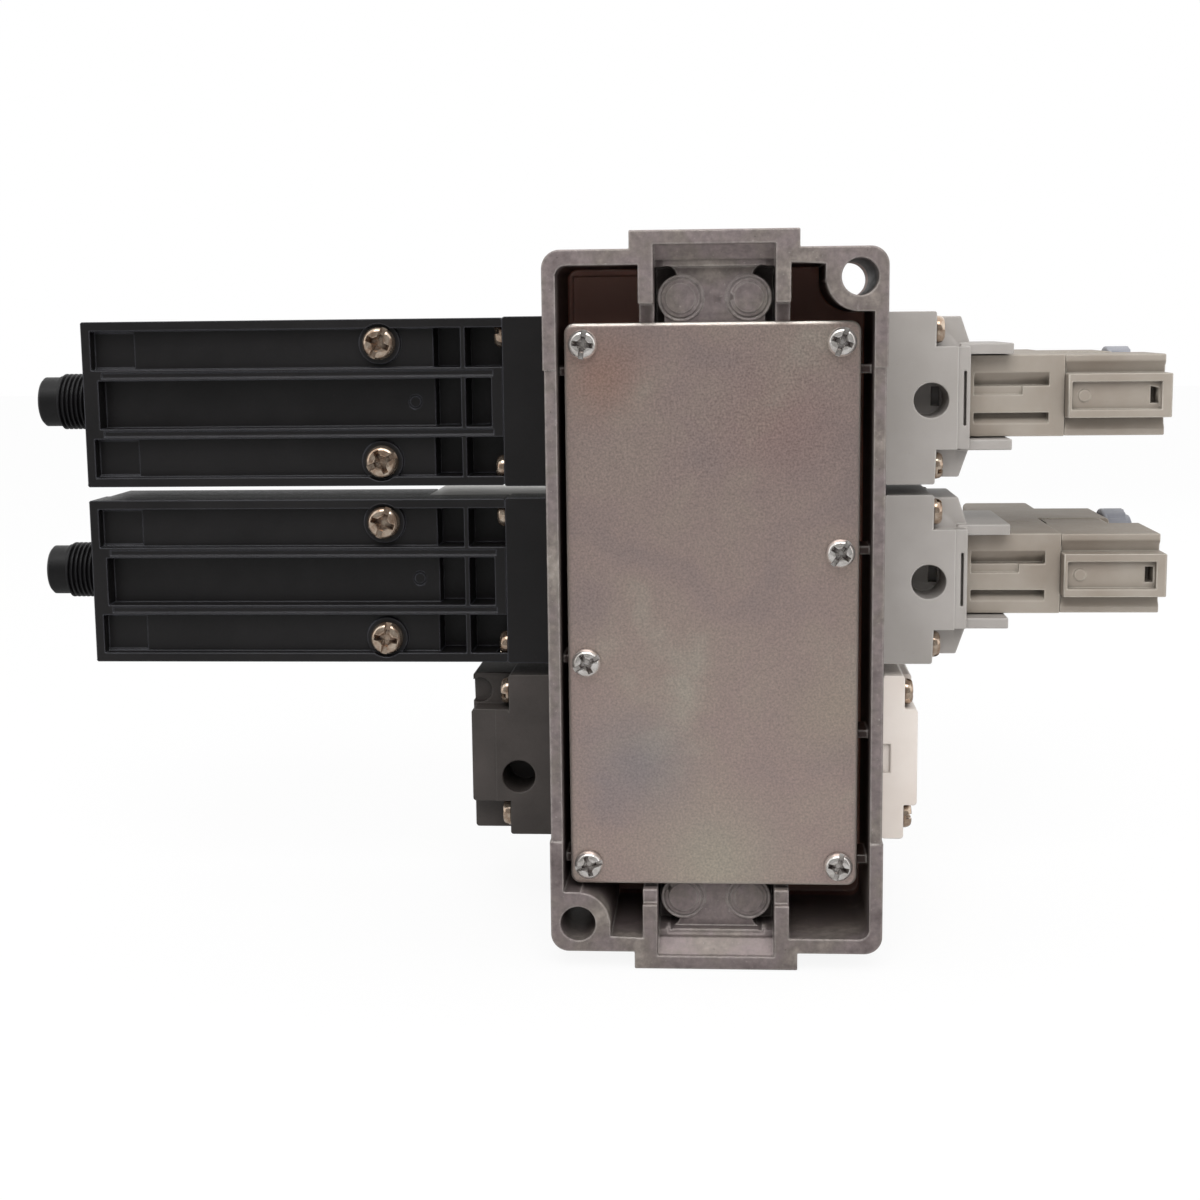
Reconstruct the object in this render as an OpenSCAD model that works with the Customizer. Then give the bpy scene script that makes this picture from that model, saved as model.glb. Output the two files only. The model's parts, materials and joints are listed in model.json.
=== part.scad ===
// Dual residual pressure relief valve with soft start and spool position switches
// X runs along the spools, Y from the mounting face to the front, Z up the panel
// The origin is midway between the two panel holes, on the mounting face

/* [Base] */
// Width of the cast base across the spools
base_w = 63; // [62:0.5:66]
// Height of the cast base between the port tabs
base_h = 132.4; // [131:0.2:136]
// Depth of the cast base from the panel to the valves
base_d = 36.5; // [36:0.5:40]
// Thickness of the rim around the open back
rim_t = 2.5; // [2:0.1:2.8]
// Width of each port tab
tab_w = 31; // [30:0.5:34]
// How far a port tab stands out past the rim
tab_out = 3.3; // [2.8:0.1:5]
// Distance from a side of the base to the middle of a panel hole
hole_in_x = 5.2; // [4.9:0.1:5.5]
// Distance from an end of the base to the middle of a panel hole
hole_in_z = 5.45; // [5:0.05:5.9]
// Diameter of a panel hole
hole_d = 6.7; // [6:0.1:7]
// Diameter of the supply and outlet port bores
port_d = 15.2; // [13:0.2:16]

/* [Cover] */
// Side gap between the cover plate and the rim
plate_gap = 1.75; // [1.4:0.05:2.2]
// Distance from an end of the cover plate to that end of the base
plate_end = 12.95; // [12.6:0.05:13.2]
// Thickness of the back cover plate
plate_t = 1.2; // [1:0.1:1.4]
// Depth of the cover plate below the rim
plate_in = 3; // [2.6:0.1:3.4]
// Thickness of the cover gasket
seal_t = 0.8; // [0.6:0.1:1]

/* [Valve modules] */
// Distance between neighbouring modules
pitch = 36.8; // [36.2:0.1:37.2]
// Width of a module
mod_w = 34; // [33:0.1:34.6]
// Depth of a module
mod_d = 34; // [33:0.5:36]
// Length of a valve body along its spool
body_l = 68; // [67:0.5:70]
// Travel of a spool
stroke = 4; // [3:0.1:4.2]
// Radius of the spool bore
bore_r = 8.5; // [8:0.1:8.8]

/* [Switch side] */
// Thickness of the back layer of the switch side
layer_t = 10; // [9:0.5:10.5]
// Length of the ribbed bracket
bracket_l = 87.2; // [84:0.2:90]
// Length of the plain end cap
cap_l = 9.3; // [8.5:0.1:10]
// Outside diameter of the plug connector thread
plug_d = 12; // [11:0.5:12]
// Number of thread ridges on a plug connector
plug_ridges = 9; // [7:1:10]

/* [Pilot side] */
// Length of the grey pilot adapter
adapter_l = 17.4; // [17:0.1:18]
// Width of the pilot valve
pilot_w = 16.7; // [15.8:0.1:16.8]
// Length of the pilot valve body
pilot_l = 19.8; // [19:0.1:21]
// Length of the coil block
coil_l = 20.2; // [19.6:0.1:21]
// Depth of the cable plug
plug_h = 21; // [20:0.5:24]

/* [Soft start] */
// Length of the black soft start cap
black_l = 17.2; // [16.5:0.1:18]
// Length of the white soft start cap
white_l = 7.3; // [7:0.1:8]
// Radius of the flow knob
knob_r = 6; // [5:0.1:7]

/* [Hidden] */
$fn = 48;
e = 0.5;
slack = 0.05;

bw = base_w / 2;
bh = base_h / 2;
tw = tab_w / 2;
tz = bh + tab_out;
in_x = bw - rim_t;
in_z = bh - 2.9;
hole_x = bw - hole_in_x;
hole_z = bh - hole_in_z;
cav_y = base_d - 5.5;
seat_y = plate_in + plate_t + seal_t;
plate_x = -0.5;
plate_z = -0.35;
pw = in_x - plate_gap;
ph = bh - plate_end;
scr_x = pw - 3.5;
scr_z = ph - 3.85;
ring_w = pw - 0.8;
ring_h = ph - 0.8;
rib_in = tw - 4.4;
rib_out = tw - 1.6;
boss_r = 6.2;
port_y = 20;
cover_pts = [
    [plate_x - scr_x, plate_z + scr_z],
    [plate_x + scr_x, plate_z + scr_z],
    [plate_x + scr_x, 10.2],
    [plate_x - scr_x, -10.5],
    [plate_x - scr_x, plate_z - scr_z],
    [plate_x + scr_x, plate_z - scr_z]
];

gasket_t = 0.5;
y0 = base_d + gasket_t;
y1 = y0 + mod_d;
ya = y0 + 20;
hl = body_l / 2;
mw = mod_w / 2;
za = 0.4 + pitch;
zb = 0.4;
zs = 0.4 - pitch;
mount_x = 19;
mount_z = 12.8;
near_y = y0 + 3.6;
far_y = y1 - 3.6;
side_z = mw - 3.3;
soft_z = mw - 3.9;
notch_y = y0 + 6.6;
notch_far = y1 - 6.6;
in_port = [-10, 8];
out_port = [10, -8];
port_r = 3.6;
vent_x = 13;
bush_y = ya + bore_r + 0.7;

layer_y = y0 + layer_t;
cap_x = -hl - cap_l;
end_x = cap_x - bracket_l;
adapt_x = -hl - 27;
win_x = cap_x - 14.4;
rod_r = 2;
rod_end = adapt_x + 9;
plug_len = 15.4;
cover_y = y0 + 26.5;
front_y = y0 + 36.5;

ax = hl + adapter_l;
px = ax + pilot_l;
cx = px + coil_l;
pilot_y = y0 + 10;
coil_y = pilot_y + 21;
plug_y = pilot_y + 32;
pz = pilot_w / 2;
tongue_in = pz + 0.25;
press_x = ax - 9;

// Box given by its limits on each axis
module block(xa, xb, ya_, yb, z_a, z_b) {
    translate([xa, ya_, z_a]) cube([xb - xa, yb - ya_, z_b - z_a]);
}

// Round bar along Y
module rod_y(x, z, ya_, yb, r) {
    translate([x, ya_, z]) rotate([-90, 0, 0]) cylinder(h = yb - ya_, r = r);
}

// Round bar along X
module rod_x(y, z, xa, xb, r) {
    translate([xa, y, z]) rotate([0, 90, 0]) cylinder(h = xb - xa, r = r);
}

// Round bar along Z
module rod_z(x, y, z_a, z_b, r) {
    translate([x, y, z_a]) cylinder(h = z_b - z_a, r = r);
}

// Box with its four edges along Y rounded
module soft_block(xa, xb, ya_, yb, z_a, z_b, r) {
    block(xa + r, xb - r, ya_, yb, z_a, z_b);
    block(xa, xb, ya_, yb, z_a + r, z_b - r);
    for (x = [xa + r, xb - r]) {
        for (z = [z_a + r, z_b - r]) {
            rod_y(x, z, ya_, yb, r);
        }
    }
}

// Flat outline in X and Z carried along Y
module slab(points, ya_, yb) {
    translate([0, yb, 0]) rotate([90, 0, 0]) linear_extrude(height = yb - ya_) polygon(points);
}

// Flat outline in Y and Z carried along X
module bar(points, xa, xb) {
    translate([xa, 0, 0]) rotate([90, 0, 90]) linear_extrude(height = xb - xa) polygon(points);
}

// Pan head screw with its head at the origin facing -Y and its shank along +Y
module pan_screw(head_r, head_h, shank_r, shank_l) {
    difference() {
        rotate([-90, 0, 0]) rotate_extrude() {
            polygon([
                [0, -head_h], [head_r * 0.55, -head_h], [head_r * 0.82, -head_h * 0.8],
                [head_r * 0.97, -head_h * 0.42], [head_r, 0], [shank_r, 0], [shank_r, shank_l], [0, shank_l]
            ]);
        }
        for (a = [0, 90]) {
            rotate([0, a, 0]) block(-head_r * 0.5, head_r * 0.5, -head_h - e, -head_h * 0.35, -0.45, 0.45);
        }
        rotate([0, 45, 0]) block(-0.45, 0.45, -head_h - e, -head_h * 0.35, -head_r * 0.3, head_r * 0.3);
        block(-head_r - e, head_r + e, -head_h - e, -head_h * 0.7, -0.4, 0.4);
    }
}

// Socket head screw with its head towards +Y
module socket_screw(head_r, head_h, shank_r, shank_l) {
    difference() {
        union() {
            rod_y(0, 0, 0, head_h, head_r);
            rod_y(0, 0, -shank_l, e, shank_r);
        }
        translate([0, head_h * 0.45, 0]) rotate([-90, 0, 0]) cylinder(h = head_h, r = head_r * 0.48, $fn = 6);
    }
}

module port_block(s) {
    // solid around one port between the two ribs
    z_a = ring_h + plate_z * s - 2.4;
    if (s > 0) {
        block(-rib_out, rib_out, seat_y, cav_y + e, z_a, in_z + e);
        block(-rib_out, rib_out, 0, cav_y, z_a + 6.6, in_z + e);
    } else {
        block(-rib_out, rib_out, seat_y, cav_y + e, -in_z - e, -z_a);
        block(-rib_out, rib_out, 0, cav_y, -in_z - e, -z_a - 6.5);
        block(-rib_out, rib_out, 1.6, cav_y, -in_z - e, -z_a - 3.9);
    }
}

module corner_block(s) {
    // solid corner around one panel hole, kept inside the outer shape
    intersection() {
        soft_block(-bw, bw, 0, base_d - 1, -bh, bh, 3.4);
        union() {
            rod_y(s * hole_x, s * hole_z, 0, base_d - 1, boss_r);
            block(min(s * (hole_x - boss_r), s * bw), max(s * (hole_x - boss_r), s * bw), 0, base_d - 1,
                min(s * (hole_z - 0.5), s * bh), max(s * (hole_z - 0.5), s * bh));
            block(min(s * (hole_x - 0.5), s * bw), max(s * (hole_x - 0.5), s * bw), 0, base_d - 1,
                min(s * (hole_z - boss_r), s * bh), max(s * (hole_z - boss_r), s * bh));
        }
    }
}

module port_recess(s) {
    // stepped hollow behind one port, open to the back
    z_w = s * (ring_h + s * plate_z);
    steps = [
        [-e, z_w], [7, z_w], [7, s * (tz - 6.5)], [4.6, s * (tz - 6.5)], [4.6, s * (tz - 5.35)],
        [3.2, s * (tz - 5.35)], [0.8, s * (tz - 2.6)], [-e, s * (tz - 2.6)]
    ];
    shallow = [
        [-e, z_w], [4.4, z_w], [4.4, s * (tz - 5.35)], [3.2, s * (tz - 5.35)],
        [0.8, s * (tz - 2.6)], [-e, s * (tz - 2.6)]
    ];
    bar(steps, -9.3, 9.3);
    bar(shallow, -rib_in, rib_in);
    z_o = s * (tz - 6.5);
    for (x = [-1, 1]) {
        rod_y(x * 8.9, s * (tz - 8.2), 3, 13, 1.9);
        // deep channel along the side wall
        block(min(x * 9.3, x * rib_in), max(x * 9.3, x * rib_in), 3, 13, min(z_w, z_o), max(z_w, z_o));
    }
}

module base() {
    color("#8c8986") difference() {
        union() {
            difference() {
                union() {
                    soft_block(-bw, bw, 0, base_d, -bh, bh, 3.4);
                    block(-tw, tw, 0, base_d - 4, -tz, tz);
                }
                soft_block(-in_x, in_x, -e, cav_y, -in_z, in_z, 2);
            }
            for (s = [-1, 1]) {
                port_block(s);
                corner_block(s);
            }
            // raised dark floor of the top left pocket
            block(-in_x + 0.9, -rib_out, cav_y - 1, cav_y + e, ring_h - 1, in_z - 1.3);
            // chamber wall under the cover
            difference() {
                block(plate_x - ring_w, plate_x + ring_w, seat_y, cav_y + e, plate_z - ring_h, plate_z + ring_h);
                block(plate_x - ring_w + 2.4, plate_x + ring_w - 2.4, seat_y - e, cav_y,
                    plate_z - ring_h + 2.4, plate_z + ring_h - 2.4);
            }
            for (p = cover_pts) {
                rod_y(p[0], p[1], seat_y, cav_y + e, 3.3);
            }
            for (z = [za, zb, zs]) {
                block(plate_x - ring_w + 1, plate_x + ring_w - 1, seat_y, cav_y + e, z - 1.1, z + 1.1);
            }
            // short webs between chamber and rim
            for (z = [44, 10.2, -25, -49.5]) {
                block(plate_x + ring_w - 1, in_x + 1, 7, 15, z - 0.8, z + 0.8);
            }
            for (z = [44, -10.5, -49.5]) {
                block(-in_x - 1, plate_x - ring_w + 1, 7, 15, z - 0.8, z + 0.8);
            }
            for (x = [-6.3, 6.3]) {
                for (s = [-1, 1]) {
                    rod_y(x, s * (tz - 12.2), 6, 13, 3.5);
                }
            }
        }
        for (s = [-1, 1]) {
            difference() {
                port_recess(s);
                for (x = [-6.3, 6.3]) {
                    rod_y(x, s * (tz - 12.2), 6.75, 9, 3.5);
                    rod_y(x, s * (tz - 12.2), 6.55, 9, 2.8);
                    // low ring around the disc, its outer side carried down into the channel
                    rod_y(x, s * (tz - 12.2), 7, 13 + e, 4.3);
                    difference() {
                        rod_y(x, s * (tz - 12.2), 6.8, 7 + e, 4.3);
                        rod_y(x, s * (tz - 12.2), 6.7, 8, 3.9);
                    }
                }
            }
            rod_y(s * hole_x, s * hole_z, -e, base_d + e, hole_d / 2);
            // threaded port, its cone and the passage to the chamber
            rod_z(0, port_y, s * (tz - 7) - 7 - e, s * (tz - 7) + 7 + e, port_d / 2);
            rod_z(0, port_y, s * (ring_h - 2) - 8, s * (ring_h - 2) + 8, port_d / 2 - 1.4);
        }
        for (p = cover_pts) {
            rod_y(p[0], p[1], seat_y - e, seat_y + 8, 1.5);
        }
        // rim lowered a little along both sides
        for (s = [-1, 1]) {
            block(min(s * (bw - 0.25), s * (bw + 1)), max(s * (bw - 0.25), s * (bw + 1)), -e, 9, -44.7, 44.4);
            block(min(s * (in_x - 1), s * (bw + 1)), max(s * (in_x - 1), s * (bw + 1)), -e, 0.3, -44.7, 44.4);
        }
        for (z = [za, zb, zs]) {
            rod_y(in_port[0], z + in_port[1], cav_y - e, base_d + e, port_r);
            rod_y(out_port[0], z + out_port[1], cav_y - e, base_d + e, port_r);
            for (x = [-mount_x, mount_x]) {
                for (d = [-mount_z, mount_z]) {
                    rod_y(x, z + d, base_d - 5, base_d + e, 2);
                }
            }
        }
    }
}

module cover_plate() {
    color("#a39a90") difference() {
        soft_block(plate_x - pw, plate_x + pw, plate_in, plate_in + plate_t, plate_z - ph, plate_z + ph, 1.9);
        for (p = cover_pts) {
            rod_y(p[0], p[1], plate_in - e, plate_in + plate_t + e, 1.7);
        }
    }
}

module cover_gasket() {
    color("#1c1c1e") difference() {
        union() {
            difference() {
                block(plate_x - ring_w, plate_x + ring_w, seat_y - seal_t, seat_y, plate_z - ring_h, plate_z + ring_h);
                block(plate_x - ring_w + 2.4, plate_x + ring_w - 2.4, seat_y - seal_t - e, seat_y + e,
                    plate_z - ring_h + 2.4, plate_z + ring_h - 2.4);
            }
            for (p = cover_pts) {
                intersection() {
                    rod_y(p[0], p[1], seat_y - seal_t, seat_y, 3.3);
                    block(plate_x - ring_w, plate_x + ring_w, 0, seat_y, plate_z - ring_h, plate_z + ring_h);
                }
            }
            for (z = [za, zb, zs]) {
                block(plate_x - ring_w + 1, plate_x + ring_w - 1, seat_y - seal_t, seat_y, z - 1.1, z + 1.1);
            }
        }
        for (p = cover_pts) {
            rod_y(p[0], p[1], seat_y - seal_t - e, seat_y + e, 1.7);
        }
    }
}

module cover_screws() {
    turns = [8, 20, 35, 62, 75, 15];
    color("#c9c7c2") for (i = [0 : 5]) {
        translate([cover_pts[i][0], plate_in, cover_pts[i][1]]) rotate([0, turns[i], 0]) {
            pan_screw(2.75, 2, 1.45, plate_t + seal_t + 7);
        }
    }
}

module valve_gaskets() {
    color("#232323") for (z = [za, zb, zs]) {
        difference() {
            block(-bw + 1, bw - 1, base_d, y0, z - mw + 1, z + mw - 1);
            rod_y(in_port[0], z + in_port[1], base_d - e, y0 + e, port_r);
            rod_y(out_port[0], z + out_port[1], base_d - e, y0 + e, port_r);
            for (x = [-mount_x, mount_x]) {
                for (d = [-mount_z, mount_z]) {
                    rod_y(x, z + d, base_d - e, y0 + e, 2.2);
                }
            }
        }
    }
}

module valve_screws() {
    color("#8d8f92") for (z = [za, zb, zs]) {
        for (x = [-mount_x, mount_x]) {
            for (d = [-mount_z, mount_z]) {
                translate([x, y1 - 4.2, z + d]) socket_screw(3.5, 4, 1.95, mod_d - 4.2 + gasket_t + 4.6);
            }
        }
    }
}

// Body block shared by the three valves
module body_block(z) {
    difference() {
        soft_block(-hl, hl, y0, y1, z - mw, z + mw, 0.8);
        rod_x(ya, z, -hl - e, hl + e, bore_r);
        rod_y(in_port[0], z + in_port[1], y0 - e, ya - 3, port_r);
        rod_y(out_port[0], z + out_port[1], y0 - e, ya - 3, port_r);
        for (x = [-mount_x, mount_x]) {
            for (d = [-mount_z, mount_z]) {
                rod_y(x, z + d, y0 - e, y1 + e, 2.2);
                rod_y(x, z + d, y1 - 4.2, y1 + e, 3.8);
            }
        }
        // shallow panels that lighten the front
        block(-14.5, 14.5, y1 - 1.2, y1 + e, z + 10.6, z + mw - 1.6);
        block(-14.5, 14.5, y1 - 1.2, y1 + e, z - mw + 1.6, z - 10.6);
    }
}

module main_body(z) {
    color("#b9b9b6") difference() {
        body_block(z);
        // exhaust port on the front and the smaller passage under its seat
        rod_y(vent_x, z, ya + bore_r + 0.4, y1 + e, 5.7);
        rod_y(vent_x, z, ya, y1 + e, 4.4);
        for (y = [near_y, far_y]) {
            for (d = [-side_z, side_z]) {
                rod_x(y, z + d, -hl - e, -hl + 8.5, 1.5);
                rod_x(y, z + d, hl - 8.5, hl + e, 1.5);
            }
        }
    }
}

module body_a() { main_body(za); }
module body_b() { main_body(zb); }

module body_s() {
    color("#b9b9b6") difference() {
        body_block(zs);
        // seat of the needle bush and the throttle hole under it
        rod_y(0, zs, bush_y, y1 + e, 4);
        rod_y(0, zs, ya + 6, bush_y + e, 1.75);
        for (y = [near_y, far_y]) {
            for (d = [-soft_z, soft_z]) {
                rod_x(y, zs + d, -hl - e, -hl + 8.5, 1.5);
                rod_x(y, zs + d, hl - 8.5, hl + e, 1.5);
            }
        }
    }
}

// Spool with three lands and a piston, at rest to the right
module spool(z, tail) {
    rr = bore_r - slack;
    color("#9a9ca0") {
        difference() {
            union() {
                rod_x(ya, z, -21, hl - 4.5, 4.2);
                rod_x(ya, z, -21, -14.5, rr);
                rod_x(ya, z, -2.5, 2.5, rr);
                rod_x(ya, z, 15.5, 20, rr);
                rod_x(ya, z, hl - 10, hl - 4.5, rr);
                rod_x(ya, z, tail, -20, rod_r);
            }
            for (x = [-17.75, 0, 17.75, hl - 7.25]) {
                difference() {
                    rod_x(ya, z, x - 0.9, x + 0.9, rr + e);
                    rod_x(ya, z, x - 0.95, x + 0.95, rr - 1.3);
                }
            }
        }
    }
}

module spool_a() { spool(za, rod_end); }
module spool_b() { spool(zb, rod_end); }
module spool_s() { spool(zs, -hl + 4); }

module seals(z) {
    color("#20201f") for (x = [-17.75, 0, 17.75, hl - 7.25]) {
        difference() {
            rod_x(ya, z, x - 0.88, x + 0.88, bore_r - 0.02);
            rod_x(ya, z, x - 1, x + 1, bore_r - slack - 1.28);
        }
    }
}

module seals_a() { seals(za); }
module seals_b() { seals(zb); }
module seals_s() { seals(zs); }

// Return spring as a stack of joined coils
module spring(z) {
    len = hl - 21.3;
    turns = 5;
    step = (len - 1.4) / (turns - 1);
    color("#8a8d90") {
        for (i = [0 : turns - 1]) {
            translate([-hl + 0.85 + i * step, ya, z]) rotate([0, 90, 0]) {
                rotate_extrude($fn = 24) translate([6.6, 0]) circle(r = 0.7, $fn = 10);
            }
        }
        for (i = [0 : turns - 2]) {
            rod_x(ya + 6.6 * cos(i * 70), z + 6.6 * sin(i * 70), -hl + 0.85 + i * step, -hl + 0.85 + (i + 1) * step, 0.45);
        }
    }
}

module spring_a() { spring(za); }
module spring_b() { spring(zb); }
module spring_s() { spring(zs); }

// Metal block that carries the switch beside the valve
module switch_adaptor(z) {
    color("#c4c3bf") difference() {
        soft_block(adapt_x, -hl, layer_y, y1, z - mw + 0.1, z + mw - 0.1, 0.5);
        rod_x(ya, z, adapt_x - e, -hl + e, rod_r + slack);
        rod_x(ya, z, adapt_x - e, adapt_x + 14, 5);
        // pockets on the front and screws towards the valve
        block(adapt_x + 5, -hl - 10, y1 - 2.5, y1 + e, z - 11, z + 11);
        for (d = [-side_z, side_z]) {
            rod_x(far_y, z + d, adapt_x - e, -hl + e, 1.6);
            rod_x(far_y, z + d, adapt_x - e, -hl - 8, 3.1);
        }
    }
}

module switch_adaptor_a() { switch_adaptor(za); }
module switch_adaptor_b() { switch_adaptor(zb); }

module end_cap(z) {
    color("#1b1b1d") difference() {
        soft_block(cap_x, -hl, y0, layer_y, z - mw - 0.2, z + mw + 0.2, 0.6);
        for (d = [-side_z, side_z]) {
            rod_x(near_y, z + d, cap_x - e, -hl + e, 1.6);
        }
    }
}

module end_cap_a() { end_cap(za); }
module end_cap_b() { end_cap(zb); }

// Ribbed bracket with its recessed panels, channel and windows
module bracket(z) {
    xa = end_x;
    color("#19191b") difference() {
        union() {
            difference() {
                soft_block(xa, cap_x, y0, layer_y, z - mw, z + mw, 0.5);
                // panels between the edge walls and the ribs
                for (s = [-1, 1]) {
                    z_a = z + min(s * 7.1, s * (mw - 1.9));
                    z_b = z + max(s * 7.1, s * (mw - 1.9));
                    block(xa + 1.9, win_x, y0 - e, y0 + 2.4, z_a, z_b);
                    block(xa + 1.9, xa + 10.4, y0 - e, y0 + 2.9, z_a + 0.4, z_b - 0.4);
                    block(win_x, win_x + 5.8, y0 - e, layer_y - 1.4, z_a, z_b);
                    block(win_x + 6.8, cap_x + e, y0 - e, layer_y - 1.4, z_a, z_b);
                }
                // channel between the ribs
                block(xa + 3.2, win_x, y0 - e, y0 + 4.4, z - 5, z + 4.9);
                block(win_x, win_x + 5.8, y0 - e, layer_y - 1.4, z - 5, z + 4.9);
                block(win_x + 6.8, cap_x - 2.4, y0 - e, layer_y - 1.4, z - 5, z + 4.9);
                // groove along the top of each rib
                for (d = [-6.05, 5.95]) {
                    block(xa + 4, cap_x - 2, y0 - e, y0 + 0.35, z + d - 0.55, z + d + 0.55);
                }
            }
            for (d = [-12.1, 12.1]) {
                rod_y(win_x - 11, z + d, y0 + 1.4, layer_y, 4.3);
            }
        }
        for (d = [-12.1, 12.1]) {
            rod_y(win_x - 11, z + d, y0 - e, layer_y + e, 2.2);
            rod_y(win_x - 11, z + d, y0 - e, y0 + 1.4, 3.9);
        }
        // room for the heads of the side screws
        for (d = [-side_z, side_z]) {
            rod_x(near_y, z + d, cap_x - 2.4, cap_x + e, 3);
        }
        difference() {
            rod_y(win_x - 4.3, z, y0 + 4, y0 + 4.7, 1.5);
            rod_y(win_x - 4.3, z, y0 + 3.9, y0 + 5, 1.1);
        }
    }
}

module bracket_a() { bracket(za); }
module bracket_b() { bracket(zb); }

module bracket_screws() {
    turns = [25, 65, 20, 10];
    color("#b9ae9c") for (i = [0 : 3]) {
        z = (i < 2 ? za : zb) + (i % 2 == 0 ? 12.1 : -12.1);
        translate([win_x - 11, y0 + 1.4, z]) rotate([0, turns[i], 0]) pan_screw(3.4, 2.3, 1.95, layer_t - 1.4 + 8);
    }
}

// Side screw along X with its head pointing away from the valve
module side_screw(x, y, z, s, grip, turn) {
    translate([x, y, z]) rotate([0, 0, s > 0 ? 90 : -90]) rotate([0, turn, 0]) pan_screw(2.75, 1.9, 1.45, grip);
}

module side_screws() {
    color("#b9ae9c") {
        for (z = [za, zb]) {
            for (d = [-side_z, side_z]) {
                side_screw(cap_x, near_y, z + d, -1, cap_l + 8, z + d * 3);
                side_screw(-hl - 8, far_y, z + d, -1, 16, 30);
                side_screw(ax - 7.4, near_y, z + d, 1, adapter_l - 7.4 + 8, z - d * 2);
                side_screw(ax - 7.4, far_y, z + d, 1, adapter_l - 7.4 + 8, 15);
            }
        }
        for (d = [-soft_z, soft_z]) {
            for (y = [near_y, far_y]) {
                side_screw(cap_x, y, zs + d, -1, cap_l + 8, y + d * 5);
                side_screw(hl + white_l - 2.7, y, zs + d, 1, white_l - 2.7 + 8, y - d * 4);
            }
        }
    }
}

// Limit switch body with its plunger guide and connector bore
module switch_body(z) {
    color("#2b2522") difference() {
        soft_block(end_x + 0.1, adapt_x, layer_y, cover_y, z - mw + 0.2, z + mw - 0.2, 0.5);
        for (d = [-12.1, 12.1]) {
            rod_y(win_x - 11, z + d, layer_y - e, layer_y + 9, 2);
        }
        rod_x(ya, z, adapt_x - 5, adapt_x + e, 2.5 + slack);
        rod_x(ya, z, adapt_x - 13 - stroke, adapt_x - 5, 4.5);
        // hollow for the contacts
        block(end_x + 14, adapt_x - 20, layer_y + 4, cover_y + e, z - 11, z + 11);
        rod_x(ya, z, end_x - e, end_x + 14 + e, 5);
        for (x = [end_x + 5, adapt_x - 5]) {
            for (d = [-12.8, 12.8]) {
                rod_y(x, z + d, cover_y - 6, cover_y + e, 1.25);
            }
        }
    }
}

module switch_body_a() { switch_body(za); }
module switch_body_b() { switch_body(zb); }

module switch_cover(z) {
    color("#211f1e") difference() {
        union() {
            soft_block(end_x + 1.9, adapt_x - 1, cover_y, cover_y + 5, z - mw + 0.8, z + mw - 0.8, 1.5);
            soft_block(end_x + 2.6, adapt_x - 10, cover_y + 4.5, front_y, z - 10.5, z + 10.5, 1.5);
        }
        block(end_x + 14, adapt_x - 20, cover_y - e, front_y - 2, z - 8.6, z + 8.6);
        for (x = [end_x + 5, adapt_x - 5]) {
            for (d = [-12.8, 12.8]) {
                rod_y(x, z + d, cover_y - e, front_y + e, 1.6);
                rod_y(x, z + d, cover_y + 3, front_y + e, 2.2);
            }
        }
    }
}

module switch_cover_a() { switch_cover(za); }
module switch_cover_b() { switch_cover(zb); }

module switch_screws() {
    color("#9b9d9f") for (z = [za, zb]) {
        for (x = [end_x + 5, adapt_x - 5]) {
            for (d = [-12.8, 12.8]) {
                translate([x, cover_y + 3, z + d]) rotate([0, 0, 180]) pan_screw(2.1, 1.6, 1.2, 8);
            }
        }
    }
}

// Switch plunger that follows the spool rod
module plunger(z) {
    color("#d8d5cc") {
        rod_x(ya, z, adapt_x - 8, rod_end - 0.01, 2.5);
        rod_x(ya, z, adapt_x - 8.5, adapt_x - 6.5, 3.6);
    }
}

module plunger_a() { plunger(za); }
module plunger_b() { plunger(zb); }

// Threaded plug connector with its keyed socket
module connector(z) {
    pr = plug_d / 2;
    pit = 1;
    color("#232326") difference() {
        union() {
            rod_x(ya, z, end_x - 1.2, end_x + 9, 4.95);
            rod_x(ya, z, end_x - 1.4, end_x + 0.1, pr + 0.9);
            rod_x(ya, z, end_x - plug_len, end_x - 1.3, pr - 0.7);
            translate([end_x - 1.4, ya, z]) rotate([0, -90, 0]) rotate_extrude() {
                polygon(concat(
                    [[pr - 1.2, 0]],
                    [for (i = [0 : plug_ridges - 1]) each [
                        [pr - 0.65, i * pit], [pr, i * pit + 0.35], [pr, i * pit + 0.6], [pr - 0.65, (i + 1) * pit - 0.02]
                    ]],
                    [[pr - 1.2, plug_ridges * pit]]
                ));
            }
        }
        rod_x(ya, z, end_x - plug_len - e, end_x - 8.5, pr - 1.7);
        block(end_x - plug_len - e, end_x - 12, ya - 0.7, ya + 0.7, z + pr - 2, z + pr - 1.1);
        for (a = [45 : 90 : 315]) {
            rod_x(ya + 2 * cos(a), z + 2 * sin(a), end_x - 9, end_x + 9 + e, 0.5);
        }
    }
}

module connector_a() { connector(za); }
module connector_b() { connector(zb); }

module connector_pins() {
    color("#c8a24a") for (z = [za, zb]) {
        for (a = [45 : 90 : 315]) {
            rod_x(ya + 2 * cos(a), z + 2 * sin(a), end_x - 13.5, end_x + 11, 0.5);
        }
    }
}

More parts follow.
